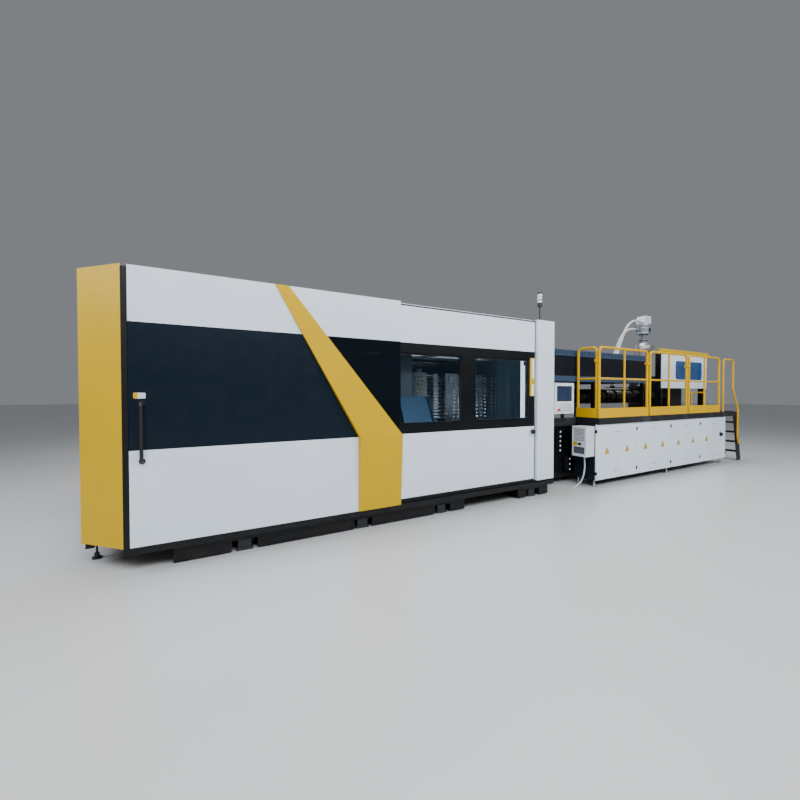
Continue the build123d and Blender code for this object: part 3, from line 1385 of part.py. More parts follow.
def injection_guard():
    """Guard beside the drive: framed panel, two legs and the round-edged top bar."""
    x0 = X_GUARD
    x1 = X_GUARD_END
    panel = block(x0, x1, Y_COVER, Y_COVER + PANEL_T, GUARD_LOW, GUARD_TOP)
    panel -= window_xz(
        X_GUARD_WINDOW, X_GUARD_WINDOW_END, GUARD_WINDOW_LOW, GUARD_WINDOW_TOP,
        Y_COVER, Y_COVER + PANEL_T, WINDOW_R,
    )
    panel -= window_xz(
        X_GUARD_WINDOW - REBATE, X_GUARD_WINDOW_END + REBATE, GUARD_WINDOW_LOW - REBATE,
        GUARD_WINDOW_TOP + REBATE, Y_COVER, Y_COVER + GLASS_T, WINDOW_R + REBATE,
    )
    back = Y_AXIS - INJECTION_BED_HALF + 50
    for x in (x0 + 10, x1 - 60):
        panel += block(x, x + 50, Y_COVER + PANEL_T, back, INJECTION_BED_TOP, GUARD_TOP)
    bar = block(x0 - 70, x1 + 50, Y_COVER - 10, Y_COVER + 50, GUARD_TOP, GUARD_TOP + TOP_BAR_H)
    return group(panel, chamfer(bar.edges().filter_by(Axis.X).group_by(Axis.Z)[-1], 14))


def guard_window():
    """Pane of the injection guard."""
    edge = REBATE - SEAT
    return window_xz(
        X_GUARD_WINDOW - edge, X_GUARD_WINDOW_END + edge, GUARD_WINDOW_LOW - edge,
        GUARD_WINDOW_TOP + edge, Y_COVER + 1, Y_COVER + GLASS_T, WINDOW_R + edge,
    )


def manifold(x, z0, z1, count):
    """Water manifold on the bed's face: back plate, header pipe and fittings."""
    face = Y_AXIS - INJECTION_BED_HALF
    body = block(x - 45, x + 45, face - 8, face, z0, z1)
    body += rod_z(x, face - 34, z0, z1, 22)
    body += block(x - 12, x + 12, face - 34, face - 8, z0 + 20, z1 - 20)
    pitch = (z1 - z0 - 60) / (count - 1)
    for index in range(count):
        z = z0 + 30 + index * pitch
        body += rod_y(x, face - 96, face - 34, z, 17)
    return body


def water_manifolds():
    """Cooling water manifolds beside the operator panel and low behind the cabinet."""
    return group(*[manifold(X_WALL + at, low, top, count) for at, low, top, count in MANIFOLDS])


# Electrical cabinet
def cabinet_hinge_lines():
    """X of each hinge line with the sides that carry a door."""
    lines = [(X_CABINET, (1,))]
    for pair in range(1, CABINET_DOORS // 2):
        lines.append((X_CABINET + 2 * pair * CABINET_DOOR_W, (-1, 1)))
    lines.append((X_CABINET_END, (-1,)))
    return lines


def cabinet_body():
    """Cabinet carcass: four bays with a back, side walls, floor and roof."""
    y0 = Y_CABINET + CABINET_DOOR_T + CABINET_BACK_GAP
    y1 = Y_CABINET + CABINET_D
    body = block(X_CABINET, X_CABINET_END, y0, y1, CABINET_LOW, DECK_LOW)
    for pair in range(CABINET_DOORS // 2):
        x0 = X_CABINET + 2 * pair * CABINET_DOOR_W + PANEL_T
        x1 = X_CABINET + 2 * (pair + 1) * CABINET_DOOR_W - PANEL_T
        body -= block(x0, x1, y0, y1 - PANEL_T, CABINET_LOW + 60, DECK_LOW - 40)
    plates = []
    for pair in range(CABINET_DOORS // 2):
        x0 = X_CABINET + 2 * pair * CABINET_DOOR_W + 90
        x1 = x0 + 2 * CABINET_DOOR_W - 180
        plates.append(block(x0, x1, y1 - PANEL_T - 14, y1 - PANEL_T, CABINET_LOW + 110, DECK_LOW - 90))
    for plate in plates:
        body += plate
    bed_face = Y_AXIS - INJECTION_BED_HALF
    for station in CABINET_TIES:
        x = X_CABINET + station
        end = x + CABINET_TIE_W
        body += block(x, end, y1, bed_face, INJECTION_BED_TOP - 110, INJECTION_BED_TOP - 98)
        body += block(x, end, bed_face - 10, bed_face, INJECTION_BED_TOP - 98, INJECTION_BED_TOP - 40)
    return body


def cabinet_hinges():
    """Hinge leaves that stand in the gaps between the doors, with their knuckles."""
    y_axis = Y_CABINET - HINGE_STAND
    y_body = Y_CABINET + CABINET_DOOR_T + CABINET_BACK_GAP
    hinges = []
    for x, sides in cabinet_hinge_lines():
        leaf_x0 = x - 2 if -1 in sides else x
        leaf_x1 = x + 2 if 1 in sides else x
        for z in (CABINET_LOW + HINGE_INSET, DECK_LOW - HINGE_INSET):
            z0 = z - HINGE_H / 2
            z1 = z + HINGE_H / 2
            hinge = block(leaf_x0, leaf_x1, y_axis, y_body, z0, z1)
            for side in sides:
                knuckle = x + side * HINGE_OFFSET
                hinge += rod_z(knuckle, y_axis, z0, z1, HINGE_R)
                hinge += block(
                    min(x, knuckle), max(x, knuckle), y_axis - HINGE_R, y_axis - 1, z0, z1
                )
            hinges.append(hinge + block(leaf_x0, leaf_x1, y_axis - HINGE_R, y_axis, z0, z1))
    return group(*hinges)


def cabinet_door(index):
    """Cabinet door with its two quarter-turn locks beside the free edge."""
    x0 = X_CABINET + index * CABINET_DOOR_W + DOOR_SPLIT / 2
    x1 = X_CABINET + (index + 1) * CABINET_DOOR_W - DOOR_SPLIT / 2
    back = Y_CABINET + CABINET_DOOR_T
    door = block(x0, x1, Y_CABINET, back, CABINET_LOW + 4, DECK_LOW - 4)
    door -= block(x0 + 25, x1 - 25, back - 12, back, CABINET_LOW + 30, DECK_LOW - 30)
    free = x1 - 45 if index % 2 == 0 else x0 + 45
    for z in (CABINET_LOW + HINGE_INSET + 20, DECK_LOW - HINGE_INSET - 20):
        door += rod_y(free, Y_CABINET - 4, Y_CABINET, z, LATCH_DOT_R)
    return door


def main_switch_knob():
    """Turning handle of the main switch on the last cabinet door."""
    x = X_CABINET_END - SWITCH_INSET
    knob = rod_y(x, Y_CABINET - 22, Y_CABINET - SEAT, SWITCH_Z, SWITCH_R)
    return knob + block(
        x - 9, x + 9, Y_CABINET - SWITCH_OUT, Y_CABINET - 22, SWITCH_Z - SWITCH_R, SWITCH_Z + SWITCH_R
    )


def air_conditioner():
    """Cabinet air conditioner with an upper louvre and a lower mesh recess."""
    x0 = X_CABINET - AC_W
    y0 = Y_CABINET + AC_BACK
    y1 = y0 + AC_D
    body = block(x0, X_CABINET, y0, y1, AC_LOW, AC_TOP)
    body -= block(x0, x0 + 14, y0 + 22, y1 - 22, AC_LOW + 40, AC_LOW + 150)
    louvre_low = AC_LOW + 245
    louvre_top = AC_TOP - 35
    body -= block(x0, x0 + 14, y0 + 22, y1 - 22, louvre_low, louvre_top)
    slats = 9
    pitch = (louvre_top - louvre_low) / slats
    for index in range(1, slats):
        z = louvre_low + index * pitch
        body += block(x0 + 3, x0 + 14, y0 + 22, y1 - 22, z - 5, z + 5)
    spigot = rod_z(X_CABINET - 70, y0 + 120, AC_LOW - 30, AC_LOW, HOSE_DRAIN_R + 4)
    return body + spigot


def drain_route():
    """Hand-set route of the condensate hose from its spigot to the floor."""
    x = X_CABINET - 70
    y = Y_CABINET + AC_BACK + 120
    z = AC_LOW - 30
    low = HOSE_DRAIN_R + 1
    return [
        (x, y, z),
        (x, y, z - 60),
        (x + 2, y - 6, z - 130),
        (x - 14, y - 10, z - 205),
        (x - 34, y - 8, z - 285),
        (x - 66, y, z - 360),
        (x - 112, y + 12, low + 44),
        (x - 178, y + 22, low + 2),
        (x - 262, y + 20, low),
    ]


def drain_hose():
    """Condensate hose, open at its lower end on the floor."""
    return hose("drain_hose", drain_route(), HOSE_DRAIN_R)


# Platform
def platform_deck():
    """Walkway deck over the cabinet: plate edge all round and the tread sheet laid within it."""
    x0 = X_CABINET + 40
    y0 = Y_FACE - DECK_FRONT
    y1 = Y_FACE + DECK_BACK
    deck = block(x0, X_LANDING_END, y0, y1, DECK_LOW, DECK_TOP)
    deck -= block(x0 + 40, X_LANDING_END - 40, y0 + 40, y1 - 40, DECK_LOW, DECK_TOP - 12)
    edge = TREAD_SHEET_EDGE
    sheet_top = DECK_TOP + TREAD_SHEET_T
    return deck + block(x0 + edge, X_LANDING_END - edge, y0 + edge, y1 - edge, DECK_TOP, sheet_top)


def rail_section(start, end):
    """One hoop of the front rail with its mid rail, middle post and toe board."""
    x0 = X_CABINET + start
    x1 = X_CABINET + end
    y = Y_FACE - RAIL_LINE
    hoop = tube(
        [(x0, y, DECK_TOP), (x0, y, RAIL_TOP), (x1, y, RAIL_TOP), (x1, y, DECK_TOP)],
        RAIL_R, RAIL_BEND,
    )
    middle = (x0 + x1) / 2
    hoop += rod_x(x0, x1, y, RAIL_MID, 0.8 * RAIL_R)
    hoop += rod_z(middle, y, DECK_TOP, RAIL_TOP, 0.8 * RAIL_R)
    front = Y_FACE - DECK_FRONT
    return hoop + block(x0 - RAIL_R, x1 + RAIL_R, front, front + 6, DECK_TOP, DECK_TOP + TOE_H)


def rail_clamp(x):
    """Clamp on the last post of a section, reaching to the first post of the next one."""
    y = Y_FACE - RAIL_LINE
    top = RAIL_CLAMP_Z + RAIL_CLAMP_H
    reach = x + SECTION_GAP - RAIL_R - SEAT
    return block(x - RAIL_R - 6, reach, y - RAIL_R - 6, y + RAIL_R + 6, RAIL_CLAMP_Z, top)


def rail_end():
    """Short rail across the clamp end of the walkway."""
    x = X_CABINET + SECTION_1[0] + 5
    y0 = Y_FACE - RAIL_LINE + 2 * RAIL_R + 6
    y1 = Y_FACE + RAIL_BACK
    hoop = tube(
        [(x, y0, DECK_TOP), (x, y0, RAIL_TOP), (x, y1, RAIL_TOP), (x, y1, DECK_TOP)],
        RAIL_R, RAIL_BEND,
    )
    hoop += rod_y(x, y0, y1, RAIL_MID, 0.8 * RAIL_R)
    hoop += block(x - RAIL_R, x - RAIL_R + 6, y0 - RAIL_R, y1 + RAIL_R, DECK_TOP, DECK_TOP + TOE_H)
    top = RAIL_CLAMP_Z + RAIL_CLAMP_H
    hoop += block(x - 26, x + 26, y0 - 2 * RAIL_R - 3, y0 + 26, RAIL_CLAMP_Z, top)
    return hoop


def step_frame():
    """Low hoop on the inner side of the walkway beside the drive."""
    x0 = X_CABINET_END - STEP_RAIL_IN
    x1 = x0 + STEP_RAIL_W
    y = Y_FACE + DECK_BACK - 20
    points = [(x0, y, DECK_TOP), (x0, y, STEP_RAIL_TOP), (x1, y, STEP_RAIL_TOP), (x1, y, DECK_TOP)]
    return tube(points, 14, 40)


def platform_railing():
    """Walkway rail in bolted sections."""
    spans = (SECTION_1, SECTION_2, SECTION_3)
    sections = [rail_section(*span) for span in spans]
    for index in range(len(spans) - 1):
        sections[index] += rail_clamp(X_CABINET + spans[index][1])
    return group(*sections, rail_end(), step_frame())


def stringer_outline():
    """Side view of a ladder stringer, foot on the floor."""
    top = DECK_TOP - 20
    foot = LENGTH / 2
    x = X_LANDING_END
    return [(foot, 0), (x + STRINGER_W, top), (x, top), (foot - STRINGER_W, 0)]


def access_ladder():
    """Ladder at the injection end: two stringers and their treads."""
    y0 = Y_FACE - DECK_FRONT + 30
    y1 = Y_FACE + DECK_BACK - 10
    body = plate_xz(stringer_outline(), y0, y0 + STRINGER_T)
    body += plate_xz(stringer_outline(), y1 - STRINGER_T, y1)
    top = DECK_TOP - 20
    run = LADDER_RUN - STRINGER_W
    for index in range(1, TREADS + 1):
        z = top * index / (TREADS + 1)
        x = LENGTH / 2 - STRINGER_W - run * z / top
        body += block(x + 4, x + STRINGER_W - 4, y0, y1, z - TREAD_T, z)
    return body


def ladder_handrail():
    """Bent handrail from the deck over the ladder to its lower stringer."""
    y = Y_FACE - DECK_FRONT + 30 - SEAT - HANDRAIL_R
    x0 = X_CABINET_END - HANDRAIL_START_IN
    x1 = X_LANDING_END - HANDRAIL_TURN_IN
    x2 = x1 + HANDRAIL_DROP_RUN
    run = LADDER_RUN - STRINGER_W
    x3 = LENGTH / 2 - STRINGER_W / 2 - run * HANDRAIL_END / (DECK_TOP - 20)
    points = [
        (x0, y, DECK_TOP),
        (x0, y, RAIL_TOP - 10),
        (x1, y, RAIL_TOP - 10),
        (x1, y, HANDRAIL_HIGH),
        (x2, y, HANDRAIL_MID),
        (x2, y, HANDRAIL_LOW),
        (x3, y, HANDRAIL_END),
    ]
    return tube(points, HANDRAIL_R, [70, 60, 90, 90, 60])


# Operator panel
def hmi_axis():
    """X and Y of the panel's upright swivel."""
    return X_WALL + HMI_START + HMI_W / 2, Y_FACE + HMI_T / 2


def hmi_arm():
    """Bracket on the enclosure wall with the swivel post of the operator panel."""
    x, y = hmi_axis()
    low = HMI_LOW - HMI_ARM_DROP
    body = block(X_WALL, X_WALL + 12, y - 30, y + 95, low - 60, low + 60)
    body += block(X_WALL + 12, x + 35, y - 30, y + 30, low - 30, low + 30)
    return body + rod_z(x, y, low + 30, HMI_LOW - SEAT, 26)


def hmi_housing():
    """Operator panel housing with its screen recess, keys and switch boss."""
    x0 = X_WALL + HMI_START
    y0 = Y_FACE
    body = block(x0, x0 + HMI_W, y0, y0 + HMI_T, HMI_LOW, HMI_TOP)
    body = chamfer(body.edges().filter_by(Axis.Z).group_by(Axis.Y)[-1], 20)
    sx = x0 + (HMI_W - SCREEN_W) / 2
    sz = HMI_TOP - 45 - SCREEN_H
    body -= block(sx, sx + SCREEN_W, y0, y0 + 8, sz, sz + SCREEN_H)
    for column in range(KEY_COLUMNS):
        for row in range(KEY_ROWS):
            kx = x0 + KEYS_AT + column * KEY_PITCH_X
            kz = HMI_LOW + 34 + row * KEY_PITCH_Z
            body += block(kx, kx + KEY_W, y0 - 3, y0, kz, kz + KEY_H)
    stop_x, stop_z = stop_place()
    body += rod_y(stop_x, y0 - 10, y0, stop_z, STOP_R + 6)
    return body - rod_y(stop_x, y0 - 10, y0 + 20, stop_z, 10 + FIT)


def stop_place():
    """X and Z of the stop button."""
    return X_WALL + HMI_START + 62, HMI_LOW + 60


def hmi_screen():
    """Screen glass of the operator panel."""
    x0 = X_WALL + HMI_START + (HMI_W - SCREEN_W) / 2 + SEAT
    z0 = HMI_TOP - 45 - SCREEN_H + SEAT
    return block(
        x0, x0 + SCREEN_W - 2 * SEAT, Y_FACE + 2, Y_FACE + 8, z0, z0 + SCREEN_H - 2 * SEAT
    )


def stop_button():
    """Mushroom head stop button with its stem."""
    x, z = stop_place()
    y = Y_FACE - 10
    head = rod_y(x, y - STOP_TRAVEL - 18, y - STOP_TRAVEL - SEAT, z, STOP_R)
    return head + rod_y(x, y - STOP_TRAVEL - SEAT, y + 12, z, 10)


def signal_tower():
    """Signal lamp on its pole and base."""
    x = X_COLUMN + TOWER_INSET
    y = Y_FACE + COLUMN_D / 2
    pole = rod_z(x, y, PANEL_TOP, PANEL_TOP + 22, 26) + rod_z(x, y, PANEL_TOP + 22, LAMP_LOW, POLE_R)
    lamp = rod_z(x, y, LAMP_LOW, LAMP_LOW + 22, LAMP_R + 2)
    lamp += rod_z(x, y, LAMP_LOW + 22, LAMP_TOP - 22, LAMP_R)
    lamp += rod_z(x, y, LAMP_TOP - 22, LAMP_TOP, LAMP_R + 2)
    return pole + lamp


PARTS = {
    "clamp_bed": clamp_bed,
    "levelling_feet": levelling_feet,
    "injection_bed": injection_bed,
    "enclosure_frame": enclosure_frame,
    "roof_panels": roof_panels,
    "corner_fascias": corner_fascias,
    "wall_panels": wall_panels,
    "column_cover": column_cover,
    "clamp_cylinder": clamp_cylinder,
    "stationary_platen": stationary_platen,
    "tie_bars": tie_bars,
    "cavity_half": cavity_half,
    "preform_chute": preform_chute,
    "signal_tower": signal_tower,
    "injection_cover": injection_cover,
    "cover_stands": cover_stands,
    "injection_guard": injection_guard,
    "guard_window": guard_window,
    "water_manifolds": water_manifolds,
    "platform_deck": platform_deck,
    "platform_railing": platform_railing,
    "access_ladder": access_ladder,
    "ladder_handrail": ladder_handrail,
    "cabinet_body": cabinet_body,
    "cabinet_hinges": cabinet_hinges,
    "air_conditioner": air_conditioner,
    "drain_hose": drain_hose,
    "hmi_arm": hmi_arm,
    "takeout_guide": takeout_guide,
    "clamp_door": clamp_door,
    "clamp_door_glass": clamp_door_glass,
    "clamp_door_fascia": clamp_door_fascia,
    "clamp_door_handle": clamp_door_handle,
    "mould_door": mould_door,
    "mould_door_windows": mould_door_windows,
    "mould_door_latch": mould_door_latch,
    "rear_door": rear_door,
    "moving_platen": moving_platen,
    "core_half": core_half,
    "stripper_plate": stripper_plate,
    "takeout_beam": takeout_beam,
    "takeout_plate": takeout_plate,
    "injection_carriage": injection_carriage,
    "injection_barrel": injection_barrel,
    "plasticating_screw": plasticating_screw,
    "material_hopper": material_hopper,
    "hopper_loader": hopper_loader,
    "loader_hoses": loader_hoses,
    "main_switch_knob": main_switch_knob,
    "hmi_housing": hmi_housing,
    "hmi_screen": hmi_screen,
    "stop_button": stop_button,
}


def main():
    """Build every sub-part and write one STEP file for each."""
    os.makedirs("parts", exist_ok=True)
    for name, build in PARTS.items():
        export_step(build(), f"parts/{name}.step")
    for index in range(CABINET_DOORS):
        export_step(cabinet_door(index), f"parts/cabinet_door_{index + 1}.step")


main()
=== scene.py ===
"""Dresses the preform injection moulding machine and lights it in a plain studio.

Stations are in millimetres from the closed clamp door: u to the right of its left edge, v behind
its face and z above the floor. Other lengths are in metres where nothing else is said.
"""

import logging
import math
from dataclasses import dataclass
from enum import Enum
from typing import Any, Iterable, Protocol, Sequence, Union

import bmesh
import bpy
from mathutils import Matrix, Vector


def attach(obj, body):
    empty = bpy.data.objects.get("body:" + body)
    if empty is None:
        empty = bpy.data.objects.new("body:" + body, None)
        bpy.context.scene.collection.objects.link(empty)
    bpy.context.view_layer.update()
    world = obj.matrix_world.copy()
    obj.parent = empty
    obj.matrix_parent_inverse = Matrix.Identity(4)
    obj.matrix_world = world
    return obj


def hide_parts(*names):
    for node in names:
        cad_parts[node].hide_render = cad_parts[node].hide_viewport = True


log = logging.getLogger("machine")

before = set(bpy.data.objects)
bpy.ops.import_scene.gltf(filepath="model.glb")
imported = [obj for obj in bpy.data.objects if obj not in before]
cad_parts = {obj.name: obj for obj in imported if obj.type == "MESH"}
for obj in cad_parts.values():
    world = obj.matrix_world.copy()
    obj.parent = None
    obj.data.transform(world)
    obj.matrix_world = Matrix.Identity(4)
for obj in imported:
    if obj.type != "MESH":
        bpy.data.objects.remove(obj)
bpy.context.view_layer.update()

Point = tuple[float, float, float]
Pair = tuple[float, float]

MM = 0.001
DOOR_CORNER = Vector((-5.44, -1.289, 0.0))
FAR = 9.0


class Body(Enum):
    """Bodies that pieces ride on."""

    MACHINE = "machine"
    CLAMP_DOOR = "clamp_door"
    MOULD_DOOR = "mould_door"
    PLATEN = "platen"
    STRIPPER = "stripper"
    CARRIAGE = "carriage"
    PANEL = "panel"


class Slot(Enum):
    """The record's material slots."""

    WHITE_PAINT = "white_paint"
    YELLOW_PAINT = "yellow_paint"
    BLACK_PLASTIC = "black_plastic"
    GREY_PLASTIC = "grey_plastic"
    LAMP_LENS = "lamp_lens"
    MACHINED_STEEL = "machined_steel"
    BRASS_FITTINGS = "brass_fittings"
    STAINLESS = "stainless"
    TREAD_PLATE = "tread_plate"
    SCREEN_GLASS = "screen_glass"
    HOSE_RUBBER = "hose_rubber"


class Plane(Enum):
    """Planes that a flat outline is drawn in, with the outline's two directions and its normal."""

    FRONT = ((1, 0, 0), (0, 0, 1), (0, -1, 0))
    TOP = ((1, 0, 0), (0, 1, 0), (0, 0, 1))
    CLAMP_END = ((0, -1, 0), (0, 0, 1), (-1, 0, 0))

    def turn(self) -> Matrix:
        """Rotation that lays local X and Y in this plane and local Z on its normal."""
        across, up, normal = (Vector(v) for v in self.value)
        return Matrix((across, up, normal)).transposed().to_4x4()


def at(u: float, v: float, z: float) -> Vector:
    """Station as a point of the row frame, in metres."""
    return DOOR_CORNER + Vector((u, v, z)) * MM


def plane_at(place: Point, plane: Plane = Plane.FRONT, turn: float = 0.0) -> Matrix:
    """Matrix that lays a flat form in a plane at a station, turned about the vertical."""
    upright = Matrix.Rotation(math.radians(turn), 4, "Z")
    return Matrix.Translation(at(*place)) @ upright @ plane.turn()


def steps(first: float, pitch: float, count: int) -> tuple[float, ...]:
    """Stations at an equal pitch."""
    return tuple(first + number * pitch for number in range(count))


def add_node(
    tree: bpy.types.NodeTree, kind: str, settings: dict[str, Any], values: dict[Any, Any]
) -> bpy.types.Node:
    """Adds a node to a tree.

    Args:
        tree: Shader or geometry tree.
        kind: The node's type.
        settings: Properties that are set first.
        values: Numbers, colours or sockets for its inputs, by name or place.

    Returns:
        The new node.
    """
    node = tree.nodes.new(kind)
    for key, value in settings.items():
        setattr(node, key, value)
    for key, value in values.items():
        if isinstance(value, bpy.types.NodeSocket):
            tree.links.new(value, node.inputs[key])
        else:
            node.inputs[key].default_value = value
    return node


# Shader maths and finishes


class Wire:
    """A shader socket that takes part in Python expressions."""

    def __init__(self, shader: "Shader", socket: bpy.types.NodeSocket) -> None:
        """Keeps the socket and the shader that it belongs to."""
        self.shader = shader
        self.socket = socket

    def _math(self, operation: str, first: "Value", second: "Value") -> "Wire":
        """Math node of the two values."""
        return self.shader.node("ShaderNodeMath", {"operation": operation}, {0: first, 1: second})

    def __add__(self, other: "Value") -> "Wire":
        """Sum."""
        return self._math("ADD", self, other)

    def __sub__(self, other: "Value") -> "Wire":
        """Difference."""
        return self._math("SUBTRACT", self, other)

    def __rsub__(self, other: "Value") -> "Wire":
        """Difference with this socket taken away."""
        return self._math("SUBTRACT", other, self)

    def __mul__(self, other: "Value") -> "Wire":
        """Product."""
        return self._math("MULTIPLY", self, other)

    def __truediv__(self, other: "Value") -> "Wire":
        """Quotient."""
        return self._math("DIVIDE", self, other)

    def __gt__(self, other: "Value") -> "Wire":
        """One where this socket is larger, else zero."""
        return self._math("GREATER_THAN", self, other)

    def __lt__(self, other: "Value") -> "Wire":
        """One where this socket is smaller, else zero."""
        return self._math("LESS_THAN", self, other)

    __radd__ = __add__
    __rmul__ = __mul__


Value = Union[Wire, float]


class Shader:
    """A material under construction."""

    def __init__(self, name: str) -> None:
        """Starts an empty node tree.

        Args:
            name: The material's name.
        """
        self.material = bpy.data.materials.new(name)
        self.material.use_nodes = True
        self.tree = self.material.node_tree
        self.tree.nodes.clear()

    def node(
        self, kind: str, settings: dict[str, Any], values: dict[Any, Any], output: Any = 0
    ) -> Wire:
        """Adds a node.

        Args:
            kind: The node's type.
            settings: Properties that are set first.
            values: Numbers, colours or wires for its inputs, by name or place.
            output: Name or place of the output to return.

        Returns:
            The chosen output.
        """
        plain = {
            key: value.socket if isinstance(value, Wire) else value
            for key, value in values.items()
        }
        return Wire(self, add_node(self.tree, kind, settings, plain).outputs[output])

    def place(self) -> Wire:
        """Object coordinates."""
        return self.node("ShaderNodeTexCoord", {}, {}, "Object")

    def along(self, axis: str) -> Wire:
        """Object coordinate along one axis."""
        return self.node("ShaderNodeSeparateXYZ", {}, {0: self.place()}, axis)

    def stretched(self, scale: Point) -> Wire:
        """Object coordinates stretched along each axis."""
        return self.node("ShaderNodeMapping", {}, {"Vector": self.place(), "Scale": scale})

    def noise(self, scale: float, detail: float, where: Union[Wire, None] = None) -> Wire:
        """Adds cloudy noise.

        Args:
            scale: Its scale, larger for finer noise.
            detail: Number of finer layers.
            where: Coordinates, or None for the object's own.

        Returns:
            Noise from 0 to 1.
        """
        return self.node(
            "ShaderNodeTexNoise",
            {},
            {"Vector": where or self.place(), "Scale": scale, "Detail": detail},
            "Fac",
        )

    def grain(self, scale: Point, detail: float) -> Wire:
        """Noise drawn out into lines by its scale along each axis."""
        return self.noise(1.0, detail, self.stretched(scale))

    def mix(self, factor: Value, low: Any, high: Any) -> Wire:
        """Mixes two colours.

        Args:
            factor: Share of the second colour.
            low: First colour.
            high: Second colour.

        Returns:
            The mixed colour.
        """
        return self.node(
            "ShaderNodeMix", {"data_type": "RGBA"}, {0: factor, 6: low, 7: high}, output=2
        )

    def span(self, wire: Wire, low: float, high: float) -> Wire:
        """Brings a range of values to that from 0 to 1 and holds the rest at its ends.

        Args:
            wire: The values.
            low: Value that becomes 0.
            high: Value that becomes 1.

        Returns:
            The new values.
        """
        return self.node(
            "ShaderNodeMapRange", {"clamp": True}, {"Value": wire, 1: low, 2: high}, "Result"
        )

    def bump(self, height: Wire, distance: float, strength: float) -> Wire:
        """Normal of a bumpy surface, whose height from 0 to 1 covers a distance in metres."""
        values = {"Height": height, "Distance": distance, "Strength": strength}
        return self.node("ShaderNodeBump", {}, values, "Normal")

    def surface(self, values: dict[str, Any]) -> Wire:
        """Principled surface."""
        return self.node("ShaderNodeBsdfPrincipled", {}, values, "BSDF")

    def output(self, surface: Wire) -> bpy.types.Material:
        """Ends the material with a surface."""
        add_node(self.tree, "ShaderNodeOutputMaterial", {}, {"Surface": surface.socket})
        return self.material


def rgba(color: Point, gain: float = 1.0) -> tuple[float, float, float, float]:
    """Colour with its alpha, made lighter or darker."""
    return (color[0] * gain, color[1] * gain, color[2] * gain, 1.0)


DUST = (0.16, 0.15, 0.13)
WHITE = (0.74, 0.83, 0.94)
YELLOW = (0.62, 0.385, 0.0)
RAIL_YELLOW = (0.68, 0.395, 0.0)
BLACK = (0.0035, 0.004, 0.005)
# Near-black painted shade for the inner faces of the enclosure.
GRAPHITE = (0.013, 0.014, 0.016)
NAVY = (0.003, 0.009, 0.018)
INSIDE_SHADE = (0.012, 0.015, 0.019)
SLATE = (0.04, 0.07, 0.125)
CASTING = (0.07, 0.085, 0.10)
STEEL = (0.62, 0.63, 0.65)
CHROME = (0.78, 0.80, 0.82)


@dataclass(frozen=True)
class Paint:
    """Powder-coated sheet or section with a fine orange peel and a little dust.

    Attributes:
        name: The material's name.
        color: Linear colour.
        roughness: Mean roughness.
        coat: Weight of the clear coat.
        dust: Most dust that lies on it, near the floor.
        peel: Height of the orange peel.
        specular: Level of the reflection.
    """

    name: str
    color: Point
    roughness: float = 0.32
    coat: float = 0.08
    dust: float = 0.06
    peel: float = 0.00012
    specular: float = 0.35

    def base(self, shader: Shader) -> Wire:
        """Colour of the clean paint."""
        tone = shader.span(shader.noise(scale=1.6, detail=2.0), 0.3, 0.7)
        return shader.mix(tone, rgba(self.color, 0.965), rgba(self.color, 1.02))

    def build(self) -> bpy.types.Material:
        """Builds the material.

        Returns:
            The paint, dustier towards the floor.
        """
        shader = Shader(self.name)
        low = 1 - shader.span(shader.along("Z"), 0.05, 0.7)
        smear = shader.span(shader.noise(scale=7.0, detail=5.0), 0.45, 0.75)
        dirt = (low * 0.7 + 0.3) * smear * self.dust
        cloud = shader.noise(scale=22.0, detail=4.0)
        values = {
            "Base Color": shader.mix(dirt, self.base(shader), rgba(DUST)),
            "Roughness": cloud * 0.10 + (self.roughness - 0.05) + dirt * 0.6,
            "Normal": shader.bump(shader.noise(scale=420.0, detail=1.0), self.peel, 0.5),
            "Coat Weight": self.coat,
            "Coat Roughness": 0.12,
            "Specular IOR Level": self.specular,
        }
        return shader.output(shader.surface(values))


@dataclass(frozen=True)
class Zone:
    """Box of the machine, in metres, whose surfaces carry another colour: a second paint in some
    zones, painted shade in others.
    """

    color: Point
    low: Point = (-FAR, -FAR, -FAR)
    high: Point = (FAR, FAR, FAR)


def level(color: Point, low: float, high: float = FAR) -> Zone:
    """Zone between two heights."""
    return Zone(color, (-FAR, -FAR, low), (FAR, FAR, high))


@dataclass(frozen=True)
class ZonedPaint(Paint):
    """Paint in more than one colour, split by where a surface lies on the machine; some zones are
    painted shade.
    """

    zones: tuple[Zone, ...] = ()

    def base(self, shader: Shader) -> Wire:
        """Colour of the clean paint.

        Args:
            shader: The material under construction.

        Returns:
            The paint's colour with its zones, later zones over earlier ones.
        """
        color = super().base(shader)
        for zone in self.zones:
            share: Value = 1.0
            for axis, low, high in zip("XYZ", zone.low, zone.high):
                if low > -FAR:
                    share = (shader.along(axis) > low) * share
                if high < FAR:
                    share = (shader.along(axis) < high) * share
            color = shader.mix(share, color, rgba(zone.color))
        return color


@dataclass(frozen=True)
class TreadPlate(Paint):
    """Painted walking plate whose wear shows bare metal."""

    worn: Point = (0.09, 0.09, 0.095)

    def base(self, shader: Shader) -> Wire:
        """Black paint worn to grey in patches."""
        worn = shader.span(shader.noise(scale=4.0, detail=6.0), 0.55, 0.75)
        return shader.mix(worn * 0.5, rgba(self.color), rgba(self.worn))


